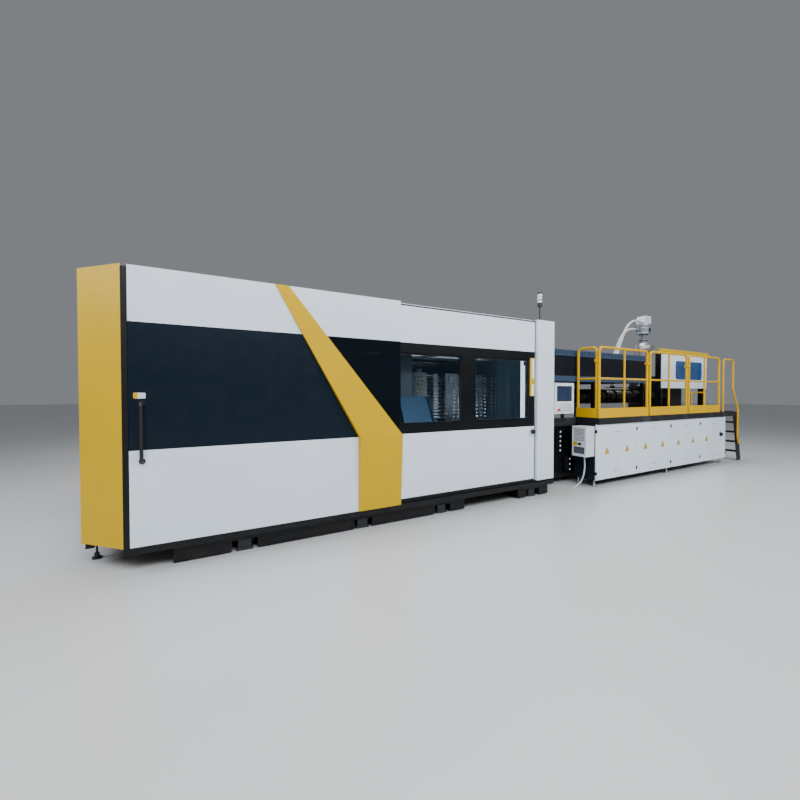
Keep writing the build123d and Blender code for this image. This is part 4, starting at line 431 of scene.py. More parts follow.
@dataclass(frozen=True)
class Metal:
    """Bare metal with a grain along one axis and faint stains.

    Attributes:
        name: The material's name.
        color: Linear colour.
        roughness: Mean roughness.
        grain: Scale of the grain along each axis, smallest along its lines.
        stain: Strength of the stains.
        depth: Depth of the grain.
    """

    name: str
    color: Point
    roughness: float = 0.3
    grain: Point = (3.0, 180.0, 180.0)
    stain: float = 0.15
    depth: float = 0.00008

    def build(self) -> bpy.types.Material:
        """Builds the material.

        Returns:
            The metal.
        """
        shader = Shader(self.name)
        lines = shader.grain(self.grain, detail=3.0)
        cloud = shader.span(shader.noise(scale=5.0, detail=5.0), 0.4, 0.8) * self.stain
        values = {
            "Base Color": shader.mix(cloud, rgba(self.color), rgba(self.color, 0.45)),
            "Metallic": 1.0,
            "Roughness": lines * 0.16 + (self.roughness - 0.08) + cloud * 0.5,
            "Normal": shader.bump(lines, self.depth, 0.5),
        }
        return shader.output(shader.surface(values))


@dataclass(frozen=True)
class HalfPainted:
    """Casting or forging that is painted on one side of a station and bare steel on the other.

    Attributes:
        name: The material's name.
        color: Colour of the paint.
        steel: Colour of the steel.
        station: Place along the machine where they meet, in metres.
        steel_beyond: Whether the steel lies towards the injection end.
    """

    name: str
    color: Point
    steel: Point
    station: float
    steel_beyond: bool = False

    def build(self) -> bpy.types.Material:
        """Builds the material.

        Returns:
            The painted casting with its steel part.
        """
        shader = Shader(self.name)
        along = shader.along("X")
        bare = along > self.station if self.steel_beyond else along < self.station
        tone = shader.span(shader.noise(scale=6.0, detail=4.0), 0.35, 0.7)
        paint = shader.mix(tone, rgba(self.color), rgba(self.color, 0.8))
        lines = shader.grain((4.0, 90.0, 90.0), detail=2.0)
        rough = shader.noise(scale=22.0, detail=4.0) * 0.10 + 0.40
        values = {
            "Base Color": shader.mix(bare, paint, rgba(self.steel)),
            "Metallic": bare,
            "Roughness": rough - bare * 0.28,
            "Normal": shader.bump(lines, 0.0001, 0.4),
        }
        return shader.output(shader.surface(values))


@dataclass(frozen=True)
class HeaterBands:
    """Barrel sleeve: bright bands with the barrel's darker, heat-tinted steel between them.

    Attributes:
        name: The material's name.
        first: Place along the machine where the first band starts.
        pitch: Distance from band to band.
        width: Width of a band.
        bright: Clean and dulled colour of the bands.
        tinted: Clean and dulled colour of the steel between them.
    """

    name: str
    first: float
    pitch: float
    width: float
    bright: tuple[Point, Point] = ((0.34, 0.33, 0.31), (0.22, 0.21, 0.20))
    tinted: tuple[Point, Point] = ((0.16, 0.13, 0.11), (0.09, 0.08, 0.07))

    def build(self) -> bpy.types.Material:
        """Builds the material.

        Returns:
            The banded metal.
        """
        shader = Shader(self.name)
        along = (shader.along("X") - self.first) / self.pitch
        cell = shader.node("ShaderNodeMath", {"operation": "FRACT"}, {0: along})
        band = cell < self.width / self.pitch
        cloud = shader.span(shader.noise(scale=6.0, detail=4.0), 0.35, 0.75)
        tinted, bright = (
            shader.mix(cloud, rgba(clean), rgba(dull)) for clean, dull in (self.tinted, self.bright)
        )
        lines = shader.grain((120.0, 6.0, 6.0), detail=2.0)
        values = {
            "Base Color": shader.mix(band, tinted, bright),
            "Metallic": 1.0,
            "Roughness": lines * 0.2 + 0.22,
            "Normal": shader.bump(lines, 0.0001, 0.4),
        }
        return shader.output(shader.surface(values))


@dataclass(frozen=True)
class Plastic:
    """Moulded plastic or rubber with a fine grain."""

    name: str
    color: Point
    roughness: float
    grain: float = 300.0
    depth: float = 0.00015

    def build(self) -> bpy.types.Material:
        """Builds the material.

        Returns:
            The plastic.
        """
        shader = Shader(self.name)
        grain = shader.noise(self.grain, detail=2.0)
        tone = shader.span(shader.noise(scale=9.0, detail=3.0), 0.3, 0.7)
        values = {
            "Base Color": shader.mix(tone, rgba(self.color, 0.9), rgba(self.color, 1.08)),
            "Roughness": grain * 0.1 + (self.roughness - 0.05),
            "Normal": shader.bump(grain, self.depth, 0.6),
        }
        return shader.output(shader.surface(values))


@dataclass(frozen=True)
class Pane:
    """Safety pane that lets part of the light through.

    Attributes:
        name: The material's name.
        color: Colour of its tint.
        cover: Share of the light that it stops.
        specular: Level of the reflection.
        clear: Colour that the passing light takes.
    """

    name: str
    color: Point
    cover: float
    specular: float = 0.5
    clear: Point = (0.93, 0.97, 1.0)

    def build(self) -> bpy.types.Material:
        """Builds the material.

        Returns:
            The pane, with faint smears and a stronger reflection at its edges.
        """
        shader = Shader(self.name)
        smear = shader.span(shader.noise(scale=3.0, detail=5.0), 0.5, 0.8)
        values = {
            "Base Color": rgba(self.color),
            "Roughness": smear * 0.05 + 0.03,
            "Specular IOR Level": self.specular,
        }
        clear = shader.node("ShaderNodeBsdfTransparent", {}, {"Color": rgba(self.clear)})
        edge = shader.node("ShaderNodeFresnel", {}, {"IOR": 1.45})
        share = edge * (1.0 - self.cover) * 0.6 + self.cover + smear * 0.02
        sides = {0: share, 1: clear, 2: shader.surface(values)}
        return shader.output(shader.node("ShaderNodeMixShader", {}, sides))


@dataclass(frozen=True)
class Glow:
    """Lit face of a lamp or a display."""

    name: str
    color: Point
    power: float

    def build(self) -> bpy.types.Material:
        """Builds the material.

        Returns:
            The lit face.
        """
        shader = Shader(self.name)
        veil = shader.span(shader.noise(scale=30.0, detail=2.0), 0.2, 0.8)
        light = shader.mix(veil, rgba(self.color, 0.92), rgba(self.color))
        values = {
            "Base Color": light,
            "Roughness": 0.25,
            "Emission Color": light,
            "Emission Strength": self.power,
        }
        return shader.output(shader.surface(values))


BAND_LOW = 1.025
BAND_TOP = 2.085
# Painted shade: the walls' inner faces, the roof's underside and the rear door's inner face are
# coloured near-black.
WALL_INSIDE_SHADE = Zone(INSIDE_SHADE, low=(-5.808, -FAR, -FAR), high=(-0.332, 1.30, 2.5435))
ROOF_UNDERSIDE_SHADE = level(INSIDE_SHADE, low=-FAR, high=2.5255)
REAR_DOOR_INSIDE_SHADE = Zone(INSIDE_SHADE, high=(FAR, 1.33, FAR))
CLAMP_DOOR_BAND = level(NAVY, BAND_LOW, BAND_TOP)
MOULD_DOOR_BAND = level((0.002, 0.0035, 0.005), BAND_LOW, BAND_TOP)
HOOD_PANEL = level((0.003, 0.0055, 0.013), low=1.782, high=2.113)
GUARD_INSIDE = Zone(BLACK, low=(-FAR, -0.9345, -FAR))
GUARD_CAP = level(YELLOW, low=2.3195)
LOADER_DRUM = level((0.20, 0.23, 0.27), low=-FAR, high=3.068)


class Finish(Enum):
    """Finishes of the machine."""

    WHITE_PAINT = Paint("white_paint", WHITE)
    # The wall, roof and rear paints are white outside and carry painted shade on their inner faces.
    WALL_PAINT = ZonedPaint("wall_paint", WHITE, zones=(WALL_INSIDE_SHADE,))
    ROOF_PAINT = ZonedPaint("roof_paint", WHITE, zones=(ROOF_UNDERSIDE_SHADE,))
    REAR_PAINT = ZonedPaint("rear_paint", WHITE, zones=(REAR_DOOR_INSIDE_SHADE,))
    CLAMP_DOOR_PAINT = ZonedPaint(
        "clamp_door_paint", WHITE, coat=0.0, specular=0.22, zones=(CLAMP_DOOR_BAND,)
    )
    MOULD_DOOR_PAINT = ZonedPaint(
        "mould_door_paint", WHITE, coat=0.0, specular=0.22, zones=(MOULD_DOOR_BAND,)
    )
    HOOD_PAINT = ZonedPaint("hood_paint", SLATE, coat=0.0, specular=0.22, zones=(HOOD_PANEL,))
    GUARD_PAINT = ZonedPaint("guard_paint", WHITE, zones=(GUARD_INSIDE, GUARD_CAP))
    LOADER_PAINT = ZonedPaint("loader_paint", WHITE, zones=(LOADER_DRUM,))
    YELLOW_PAINT = Paint(
        "yellow_paint", YELLOW, roughness=0.40, coat=0.0, dust=0.02, specular=0.15
    )
    RAIL_PAINT = Paint(
        "rail_paint", RAIL_YELLOW, roughness=0.38, coat=0.0, dust=0.02, specular=0.15
    )
    BLACK_PAINT = Paint("black_paint", BLACK, roughness=0.45, coat=0.0, dust=0.05, specular=0.3)
    GRAPHITE_PAINT = Paint("graphite_paint", GRAPHITE, roughness=0.42, coat=0.0)
    # Navy body paint of the cabinet, which shows as painted shade in the gaps between the doors and
    # under them.
    GAP_SHADE_PAINT = Paint("dark_paint", NAVY, roughness=0.36, coat=0.0, dust=0.03, specular=0.25)
    PALE_PAINT = Paint("pale_blue_paint", (0.50, 0.60, 0.70), roughness=0.34)
    CAST_PAINT = Paint("casting_paint", CASTING, roughness=0.45, peel=0.0006)
    TREAD = TreadPlate("tread_plate", (0.008, 0.009, 0.011), roughness=0.5, coat=0.0, dust=0.08)
    RAM_CASTING = HalfPainted("ram_casting", CASTING, CHROME, station=-2.9805)
    FOOT_FORGING = HalfPainted(
        "foot_forging", (0.022, 0.024, 0.027), STEEL, station=0.5, steel_beyond=True
    )
    MACHINED = Metal("machined_steel", STEEL, roughness=0.26)
    MOULD_STEEL = Metal("mould_steel", (0.55, 0.57, 0.60), roughness=0.24, grain=(60.0, 60.0, 9.0))
    POLISHED = Metal("polished_steel", CHROME, roughness=0.14, stain=0.05)
    BLUED = Metal("blued_sheet", (0.045, 0.085, 0.14), roughness=0.34, grain=(40.0, 40.0, 4.0))
    DULL = Metal("dull_steel", (0.30, 0.32, 0.35), roughness=0.42, grain=(60.0, 60.0, 9.0))
    STAINLESS = Metal("stainless", (0.72, 0.73, 0.75), roughness=0.28, grain=(90.0, 90.0, 4.0))
    ALUMINIUM = Metal("aluminium", (0.74, 0.76, 0.79), roughness=0.33, grain=(60.0, 4.0, 60.0))
    BRASS = Metal("brass_fitting", (0.72, 0.54, 0.24), roughness=0.28, grain=(50.0, 50.0, 50.0))
    BANDS = HeaterBands("heater_bands", first=0.60, pitch=0.32, width=0.22)
    BLACK_PLASTIC = Plastic("black_plastic", (0.008, 0.008, 0.010), roughness=0.45)
    GREY_PLASTIC = Plastic("grey_plastic", (0.70, 0.74, 0.78), roughness=0.40)
    SLATE_PLASTIC = Plastic("slate_plastic", (0.16, 0.19, 0.24), roughness=0.45)
    KEY_PLASTIC = Plastic("key_plastic", (0.42, 0.47, 0.53), roughness=0.45)
    BLANK_LABEL = Plastic("blank_label", (0.80, 0.83, 0.86), roughness=0.38)
    RED_PLASTIC = Plastic("red_plastic", (0.55, 0.012, 0.010), roughness=0.28)
    BLUE_PLASTIC = Plastic("blue_plastic", (0.015, 0.05, 0.20), roughness=0.35)
    SEAL = Plastic("rubber_seal", (0.010, 0.010, 0.011), roughness=0.65)
    HOSE = Plastic("hose_wall", (0.62, 0.63, 0.58), roughness=0.45)
    LENS = Plastic("lamp_lens", (0.74, 0.78, 0.84), roughness=0.22)
    TINTED = Pane("tinted_pane", (0.002, 0.005, 0.009), cover=0.84, specular=0.3)
    CLEAR = Pane("clear_pane", (0.02, 0.04, 0.06), cover=0.06)
    GUARD_PANE = Pane("guard_pane", (0.01, 0.09, 0.30), cover=0.5)
    WORK_LIGHT = Glow("work_light", (0.86, 0.95, 1.0), power=4.0)
    DISPLAY = Glow("display_face", (0.008, 0.016, 0.036), power=0.2)
    DISPLAY_LIGHT = Glow("display_light", (0.013, 0.026, 0.060), power=0.4)

    def material(self) -> bpy.types.Material:
        """Finds the finish's material, or builds it on its first use.

        Returns:
            The material.
        """
        name = self.value.name + "_finish"
        found = bpy.data.materials.get(name)
        if found is None:
            found = self.value.build()
            found.name = name
        return found


# Shapes


class Shape:
    """Closed forms gathered into one mesh."""

    def __init__(self) -> None:
        """Starts an empty mesh."""
        self.mesh = bmesh.new()
        self.finishes: list[Finish] = []

    def _mark(self, faces: Iterable[bmesh.types.BMFace], finish: Finish, smooth: bool) -> None:
        """Gives faces their finish and shading.

        Args:
            faces: The faces.
            finish: Their finish.
            smooth: Whether they are shaded as one curved surface.
        """
        if finish not in self.finishes:
            self.finishes.append(finish)
        number = self.finishes.index(finish)
        for face in faces:
            face.material_index = number
            face.smooth = smooth

    def _ease(self, edges: Iterable[bmesh.types.BMEdge], width: float) -> list[Any]:
        """Rounds edges off.

        Args:
            edges: The edges.
            width: Width of the rounding.

        Returns:
            The new faces.
        """
        return bmesh.ops.bevel(
            self.mesh, geom=list(edges), offset=width, segments=2, profile=0.5, affect="EDGES"
        )["faces"]

    def block(self, low: Vector, high: Vector, finish: Finish, ease: float = 0.0) -> None:
        """Adds a box.

        Args:
            low: Lowest corner, in metres.
            high: Highest corner.
            finish: Its finish.
            ease: Width of its rounded edges.
        """
        place = Matrix.Translation((low + high) / 2) @ Matrix.Diagonal((*(high - low), 1.0))
        verts = bmesh.ops.create_cube(self.mesh, size=1.0, matrix=place)["verts"]
        faces = {face for vert in verts for face in vert.link_faces}
        if ease > 0:
            eased = self._ease({edge for vert in verts for edge in vert.link_edges}, ease)
            faces = {face for face in faces if face.is_valid} | set(eased)
        self._mark(faces, finish, False)

    def lathe(
        self, start: Vector, along: Vector, profile: Sequence[Pair], finish: Finish, sides: int
    ) -> None:
        """Adds a turned form, closed at both ends.

        Args:
            start: Point on the axis where the profile's first height is zero.
            along: Direction of the axis.
            profile: Height and radius of each ring.
            finish: Its finish.
            sides: Number of flats.
        """
        turn = along.normalized().to_track_quat("Z", "Y").to_matrix().to_4x4()
        place = Matrix.Translation(start) @ turn
        angles = [2 * math.pi * index / sides for index in range(sides)]
        rings = [
            [
                self.mesh.verts.new(
                    place @ Vector((radius * math.cos(angle), radius * math.sin(angle), height))
                )
                for angle in angles
            ]
            for height, radius in profile
        ]
        walls = []
        for below, above in zip(rings, rings[1:]):
            for index in range(sides):
                after = (index + 1) % sides
                corners = (below[index], below[after], above[after], above[index])
                walls.append(self.mesh.faces.new(corners))
        ends = [self.mesh.faces.new(list(reversed(rings[0]))), self.mesh.faces.new(rings[-1])]
        self._mark(walls, finish, True)
        self._mark(ends, finish, False)
        for ring in rings:
            for index in range(sides):
                edge = self.mesh.edges.get((ring[index], ring[(index + 1) % sides]))
                if edge is not None:
                    edge.smooth = False

    def plate(
        self, outline: Sequence[Pair], place: Matrix, depth: float, finish: Finish, ease: float
    ) -> None:
        """Adds a flat plate.

        Args:
            outline: Corner points of its face, counter-clockwise.
            place: Matrix that puts the outline's plane in the row frame.
            depth: Thickness against the normal.
            finish: Its finish.
            ease: Width of the rounded front edge.
        """
        front = [self.mesh.verts.new(place @ Vector((x, y, 0))) for x, y in outline]
        back = [self.mesh.verts.new(place @ Vector((x, y, -depth))) for x, y in outline]
        faces = [self.mesh.faces.new(front), self.mesh.faces.new(list(reversed(back)))]
        count = len(outline)
        for index in range(count):
            after = (index + 1) % count
            corners = (front[index], back[index], back[after], front[after])
            faces.append(self.mesh.faces.new(corners))
        if ease > 0:
            eased = self._ease(faces[0].edges, ease)
            faces = [face for face in faces if face.is_valid] + list(eased)
        self._mark(faces, finish, False)

    def add_mesh(self, mesh: bpy.types.Mesh, place: Matrix, finish: Finish) -> None:
        """Adds a copy of a finished mesh.

        Args:
            mesh: The mesh.
            place: Matrix that puts it in the row frame.
            finish: Its finish.
        """
        copy = mesh.copy()
        copy.transform(place)
        before = len(self.mesh.faces)
        self.mesh.from_mesh(copy)
        self.mesh.faces.ensure_lookup_table()
        added = self.mesh.faces[before:]
        smooth = [face.smooth for face in added]
        self._mark(added, finish, False)
        for face, was in zip(added, smooth):
            face.smooth = was
        bpy.data.meshes.remove(copy)

    def piece(self, name: str, body: Union[Body, str], slot: Slot) -> None:
        """Ends the shape as a piece.

        Args:
            name: The piece's name.
            body: The body that it rides on.
            slot: The record's material slot; not used.
        """
        mesh = bpy.data.meshes.new(name)
        self.mesh.to_mesh(mesh)
        self.mesh.free()
        for finish in self.finishes:
            mesh.materials.append(finish.material())
        settle(name, mesh, body)


def settle(name: str, data: Any, body: Union[Body, str]) -> bpy.types.Object:
    """Links new object data as a piece that rides on a body.

    Args:
        name: The piece's name.
        data: Its mesh or curve.
        body: The body that it rides on.

    Returns:
        The new object.
    """
    piece = bpy.data.objects.new(name, data)
    bpy.context.scene.collection.objects.link(piece)
    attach(piece, body.value if isinstance(body, Body) else body)
    log.info("piece %s", name)
    return piece


def rounded(width: float, height: float, radius: float, steps: int = 5) -> list[Pair]:
    """Outline of a rounded rectangle about its centre.

    Args:
        width: Its width.
        height: Its height.
        radius: Radius of its corners.
        steps: Chords of each corner.

    Returns:
        Its points, counter-clockwise.
    """
    x, y = width / 2 - radius, height / 2 - radius
    points = []
    for centre, start in (((x, y), 0), ((-x, y), 90), ((-x, -y), 180), ((x, -y), 270)):
        for step in range(steps + 1):
            angle = math.radians(start + 90 * step / steps)
            points.append(
                (centre[0] + radius * math.cos(angle), centre[1] + radius * math.sin(angle))
            )
    return points


def spline(name: str, points: Sequence[Point], radius: float) -> bpy.types.Curve:
    """Smooth round curve whose control points are the route's own points.

    Args:
        name: The curve's name.
        points: The route's points, in metres.
        radius: Radius of the hose.

    Returns:
        The curve.
    """
    curve = bpy.data.curves.new(name, "CURVE")
    curve.dimensions = "3D"
    curve.bevel_depth = radius
    curve.bevel_resolution = 6
    curve.resolution_u = 16
    curve.use_fill_caps = True
    curve.materials.append(Finish.HOSE.material())
    line = curve.splines.new("NURBS")
    line.points.add(len(points) - 1)
    for point, place in zip(line.points, points):
        point.co = (*place, 1.0)
    line.order_u = 3
    line.use_endpoint_u = True
    return curve


# Geometry node trees


class Pattern:
    """A Geometry Nodes tree with named sizes, used for what repeats."""

    def __init__(self, name: str) -> None:
        """Starts a tree with one geometry input and output.

        Args:
            name: The tree's name.
        """
        self.tree = bpy.data.node_groups.new(name, "GeometryNodeTree")
        for side in ("OUTPUT", "INPUT"):
            self.tree.interface.new_socket(
                "Geometry", in_out=side, socket_type="NodeSocketGeometry"
            )
        self.start = self.tree.nodes.new("NodeGroupInput")
        self.end = self.tree.nodes.new("NodeGroupOutput")
        self.sizes: dict[str, str] = {}

    def size(self, name: str, kind: str = "Float") -> bpy.types.NodeSocket:
        """Adds a named input.

        Args:
            name: The input's name.
            kind: Float, Int, Vector or Material.

        Returns:
            Its socket in the tree.
        """
        item = self.tree.interface.new_socket(
            name, in_out="INPUT", socket_type=f"NodeSocket{kind}"
        )
        self.sizes[name] = item.identifier
        return self.start.outputs[name]

    def node(
        self, kind: str, values: dict[Any, Any], operation: Union[str, None] = None
    ) -> bpy.types.NodeSocket:
        """First output of a new node, whose inputs are given by name or place."""
        settings = {"operation": operation} if operation else {}
        return add_node(self.tree, kind, settings, values).outputs[0]

    def math(self, operation: str, first: Any, second: Any = 0.0) -> bpy.types.NodeSocket:
        """Math node of one or two values."""
        return self.node("ShaderNodeMath", {0: first, 1: second}, operation)

    def grid(self, columns: Any, rows: Any, across: Any, up: Any) -> bpy.types.NodeSocket:
        """Adds a grid of points about the origin.

        Args:
            columns: Number of columns.
            rows: Number of rows.
            across: Pitch of the columns.
            up: Pitch of the rows.

        Returns:
            The grid.
        """
        width = self.math("MULTIPLY", self.math("SUBTRACT", columns, 1.0), across)
        depth = self.math("MULTIPLY", self.math("SUBTRACT", rows, 1.0), up)
        values = {"Size X": width, "Size Y": depth, "Vertices X": columns, "Vertices Y": rows}
        return self.node("GeometryNodeMeshGrid", values)

    def close(self, points: Any, instance: Any, rotation: Any = (0.0, 0.0, 0.0)) -> "Pattern":
        """Ends the tree in a copy at each point, as real geometry with its material.

        Args:
            points: Where the copies stand.
            instance: What is copied.
            rotation: How each copy is turned.

        Returns:
            The pattern itself.
        """
        copies = self.node(
            "GeometryNodeInstanceOnPoints",
            {"Points": points, "Instance": instance, "Rotation": rotation},
        )
        real = self.node("GeometryNodeRealizeInstances", {0: copies})
        dressed = self.node(
            "GeometryNodeSetMaterial",
            {"Geometry": real, "Material": self.size("Finish", "Material")},
        )
        self.tree.links.new(dressed, self.end.inputs[0])
        return self

    def grow(self, values: dict[str, Any], finish: Finish) -> bpy.types.Mesh:
        """Evaluates the tree once.

        Args:
            values: Sizes by name.
            finish: Finish of the result.

        Returns:
            The plain mesh.
        """
        carrier = bpy.data.objects.new("carrier", bpy.data.meshes.new("carrier"))
        bpy.context.scene.collection.objects.link(carrier)
        modifier = carrier.modifiers.new("pattern", "NODES")
        modifier.node_group = self.tree
        for name, value in {**values, "Finish": finish.material()}.items():
            modifier[self.sizes[name]] = value
        graph = bpy.context.evaluated_depsgraph_get()
        mesh = bpy.data.meshes.new_from_object(carrier.evaluated_get(graph))
        carrier.modifiers.remove(modifier)
        bpy.data.objects.remove(carrier)
        return mesh


def stud_grid() -> Pattern:
    """Tree of round studs on a flat grid, such as bolt heads and hose ports.

    Returns:
        The pattern.
    """
    pattern = Pattern("stud_grid")
    columns = pattern.size("Columns", "Int")
    rows = pattern.size("Rows", "Int")
    across = pattern.size("Pitch across")
    up = pattern.size("Pitch up")
    radius = pattern.size("Radius")
    height = pattern.size("Height")
    sides = pattern.size("Sides", "Int")
    stud = pattern.node(
        "GeometryNodeMeshCylinder", {"Vertices": sides, "Radius": radius, "Depth": height}
    )
    lift = pattern.node("ShaderNodeCombineXYZ", {"Z": pattern.math("MULTIPLY", height, 0.5)})
    raised = pattern.node("GeometryNodeTransform", {"Geometry": stud, "Translation": lift})
    return pattern.close(pattern.grid(columns, rows, across, up), raised)


def bar_row() -> Pattern:
    """Tree of equal bars in a line, such as slats and louvre blades.

    Returns:
        The pattern.
    """
    pattern = Pattern("bar_row")
    count = pattern.size("Count", "Int")
    pitch = pattern.size("Pitch", "Vector")
    bar = pattern.size("Bar", "Vector")
    tilt = pattern.size("Tilt", "Vector")
    line = pattern.node("GeometryNodeMeshLine", {"Count": count, "Offset": pitch})
    cube = pattern.node("GeometryNodeMeshCube", {"Size": bar})
    turned = pattern.node("FunctionNodeEulerToRotation", {0: tilt})
    return pattern.close(line, cube, turned)


def lozenge_field() -> Pattern:
    """Tree of raised lozenges in two crossed directions, as on a tread plate.

    Returns:
        The pattern.
    """
    pattern = Pattern("lozenge_field")
    columns = pattern.size("Columns", "Int")
    rows = pattern.size("Rows", "Int")
    step = pattern.size("Pitch")
    bar = pattern.size("Bar", "Vector")
    number = pattern.node("GeometryNodeInputIndex", {})
    column = pattern.math("FLOOR", pattern.math("DIVIDE", number, rows))
    odd = pattern.math("MODULO", pattern.math("ADD", number, column), 2.0)
    angle = pattern.math("MULTIPLY", pattern.math("SUBTRACT", odd, 0.5), math.pi / 2)
    euler = pattern.node("ShaderNodeCombineXYZ", {"Z": angle})
    turned = pattern.node("FunctionNodeEulerToRotation", {0: euler})
    cube = pattern.node("GeometryNodeMeshCube", {"Size": bar})
    return pattern.close(pattern.grid(columns, rows, step, step), cube, turned)


STUDS = stud_grid()
BARS = bar_row()
LOZENGES = lozenge_field()


# Details that sub-assemblies are trimmed with


class Detail(Protocol):
    """Anything that adds itself to a shape."""

    def add(self, shape: Shape) -> None:
        """Adds the detail to a shape."""


@dataclass(frozen=True)
class Slab:
    """Box between two stations, with the width of its rounded edges."""

    low: Point
    high: Point
    finish: Finish
    ease: float = 0.0

    def add(self, shape: Shape) -> None:
        """Adds the box to a shape."""
        shape.block(at(*self.low), at(*self.high), self.finish, self.ease)


@dataclass(frozen=True)
class Rod:
    """Round bar or disc between two stations, with eased ends or square ones."""

    start: Point
    end: Point
    radius: float
    finish: Finish
    sides: int
    square: bool = False

    def add(self, shape: Shape) -> None:
        """Adds the bar to a shape.

        Args:
            shape: The shape.
        """
        start = at(*self.start)
        along = at(*self.end) - start
        profile = [(0.0, self.radius), (along.length, self.radius)]
        if not self.square:
            ease = min(self.radius * 0.12, along.length * 0.2)
            profile = [
                (0.0, self.radius - ease),
                (ease, self.radius),
                (along.length - ease, self.radius),
                (along.length, self.radius - ease),
            ]
        shape.lathe(start, along, profile, self.finish, self.sides)


@dataclass(frozen=True)
class Plate:
    """Flat plate on the machine's front.

    Attributes:
        place: Station of its middle, on its face.
        outline: Corner points of its face about its middle, in metres.
        depth: Thickness.
        finish: Its finish.
        ease: Width of its rounded front edge.
    """

    place: Point
    outline: Sequence[Pair]
    depth: float
    finish: Finish
    ease: float = 0.0

    def add(self, shape: Shape) -> None:
        """Adds the plate to a shape."""
        shape.plate(self.outline, plane_at(self.place), self.depth, self.finish, self.ease)


@dataclass(frozen=True)
class Studs:
    """Grid of round studs.

    Attributes:
        columns: Number of columns.
        across: Pitch of the columns.
        place: Station of the grid's middle.
        finish: Its finish.
        rows: Number of rows.
        up: Pitch of the rows.
        radius: Radius of a stud.
        height: Height of a stud.
        sides: Number of a stud's flats.
        plane: Plane that it lies in.
        turn: Degrees that it is turned by about the vertical.
    """

    columns: int
    across: float
    place: Point
    finish: Finish
    rows: int
    up: float
    radius: float
    height: float
    sides: int
    plane: Plane = Plane.FRONT
    turn: float = 0.0

    def add(self, shape: Shape) -> None:
        """Adds the studs to a shape.

        Args:
            shape: The shape.
        """
        sizes = {
            "Columns": self.columns,
            "Rows": self.rows,
            "Pitch across": self.across,
            "Pitch up": self.up,
            "Radius": self.radius,
            "Height": self.height,
            "Sides": self.sides,
        }
        place = plane_at(self.place, self.plane, self.turn)
        shape.add_mesh(STUDS.grow(sizes, self.finish), place, self.finish)


@dataclass(frozen=True)
class ScrewHeads(Studs):
    """Painted screw heads along the sides of a tall panel."""

    rows: int = 6
    up: float = 0.42
    radius: float = 0.006
    height: float = 0.0025
    sides: int = 12


@dataclass(frozen=True)
class WaterPorts(Studs):
    """Columns of water ports on a mould plate."""

    rows: int = 12
    up: float = 0.054
    radius: float = 0.015
    height: float = 0.018
    sides: int = 14


@dataclass(frozen=True)
class BarRow:
    """Row of equal bars.

    Attributes:
        count: Number of bars.
        pitch: Step from bar to bar.
        bar: Size of a bar.
        place: Station of the first bar.
        finish: Its finish.
        tilt: How each bar is turned, in radians.
        plane: Plane that the row lies in.
    """

    count: int
    pitch: Point
    bar: Point
    place: Point
    finish: Finish
    tilt: Point = (0.0, 0.0, 0.0)
    plane: Plane = Plane.FRONT

    def add(self, shape: Shape) -> None:
        """Adds the bars to a shape.

        Args:
            shape: The shape.
        """
        sizes = {"Count": self.count, "Pitch": self.pitch, "Bar": self.bar, "Tilt": self.tilt}
        place = plane_at(self.place, self.plane)
        shape.add_mesh(BARS.grow(sizes, self.finish), place, self.finish)


@dataclass(frozen=True)
class Lozenges:
    """Raised lozenges of a tread plate.

    Attributes:
        columns: Number of columns.
        rows: Number of rows.
        pitch: Distance from lozenge to lozenge.
        bar: Size of a lozenge.
        place: Station of the field's middle.
        finish: Its finish.
    """

    columns: int
    rows: int
    pitch: float
    bar: Point
    place: Point
    finish: Finish

    def add(self, shape: Shape) -> None:
        """Adds the lozenges to a shape.

        Args:
            shape: The shape.
        """
        sizes = {
            "Columns": self.columns, "Rows": self.rows, "Pitch": self.pitch, "Bar": self.bar
        }
        place = plane_at(self.place, Plane.TOP)
        shape.add_mesh(LOZENGES.grow(sizes, self.finish), place, self.finish)


@dataclass(frozen=True)
class Bead:
    """Rubber bead round a window.

    Attributes:
        place: Station of the window's middle.
        size: Width and height of the window.
        corner: Radius of the window's corners.
        radius: Radius of the bead.
        finish: Its finish.
    """

    place: Point
    size: Pair
    corner: float
    radius: float
    finish: Finish

    def add(self, shape: Shape) -> None:
        """Adds the bead to a shape.

        Args:
            shape: The shape.
        """
        curve = bpy.data.curves.new("bead", "CURVE")
        curve.dimensions = "3D"
        curve.bevel_depth = self.radius
        curve.bevel_resolution = 2
        outline = rounded(*self.size, self.corner)
        line = curve.splines.new("POLY")
        line.points.add(len(outline) - 1)
        for point, (x, z) in zip(line.points, outline):
            point.co = (x, z, 0.0, 1.0)
        line.use_cyclic_u = True
        carrier = bpy.data.objects.new("bead", curve)
        mesh = bpy.data.meshes.new_from_object(carrier)
        for polygon in mesh.polygons:
            polygon.use_smooth = True
        shape.add_mesh(mesh, plane_at(self.place), self.finish)
        bpy.data.objects.remove(carrier)


def assemble(name: str, body: Union[Body, str], slot: Slot, details: Iterable[Detail]) -> None:
    """Makes one piece of some details.

    Args:
        name: The piece's name.
        body: The body that it rides on.
        slot: The record's material slot.
        details: What it is made of.
    """
    shape = Shape()
    for detail in details:
        detail.add(shape)
    shape.piece(name, body, slot)


# Sub-assemblies


@dataclass
class SubAssembly:
    """What every sub-assembly does: it dresses its CAD nodes, then adds its own pieces.

    Attributes:
        nodes: CAD nodes with their finishes.
    """

    nodes: tuple[tuple[str, Finish], ...] = ()

    def dress_nodes(self) -> None:
        """Gives each CAD node its finish."""
        for node, finish in self.nodes:
            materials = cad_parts[node].data.materials
            materials.clear()
            materials.append(finish.material())
            log.info("node %s in %s", node, finish.value.name)

    def add_pieces(self) -> None:
        """Adds the pieces that the CAD model leaves to the visual model."""

    def build(self) -> None:
        """Builds and dresses the sub-assembly."""
        self.dress_nodes()
        self.add_pieces()


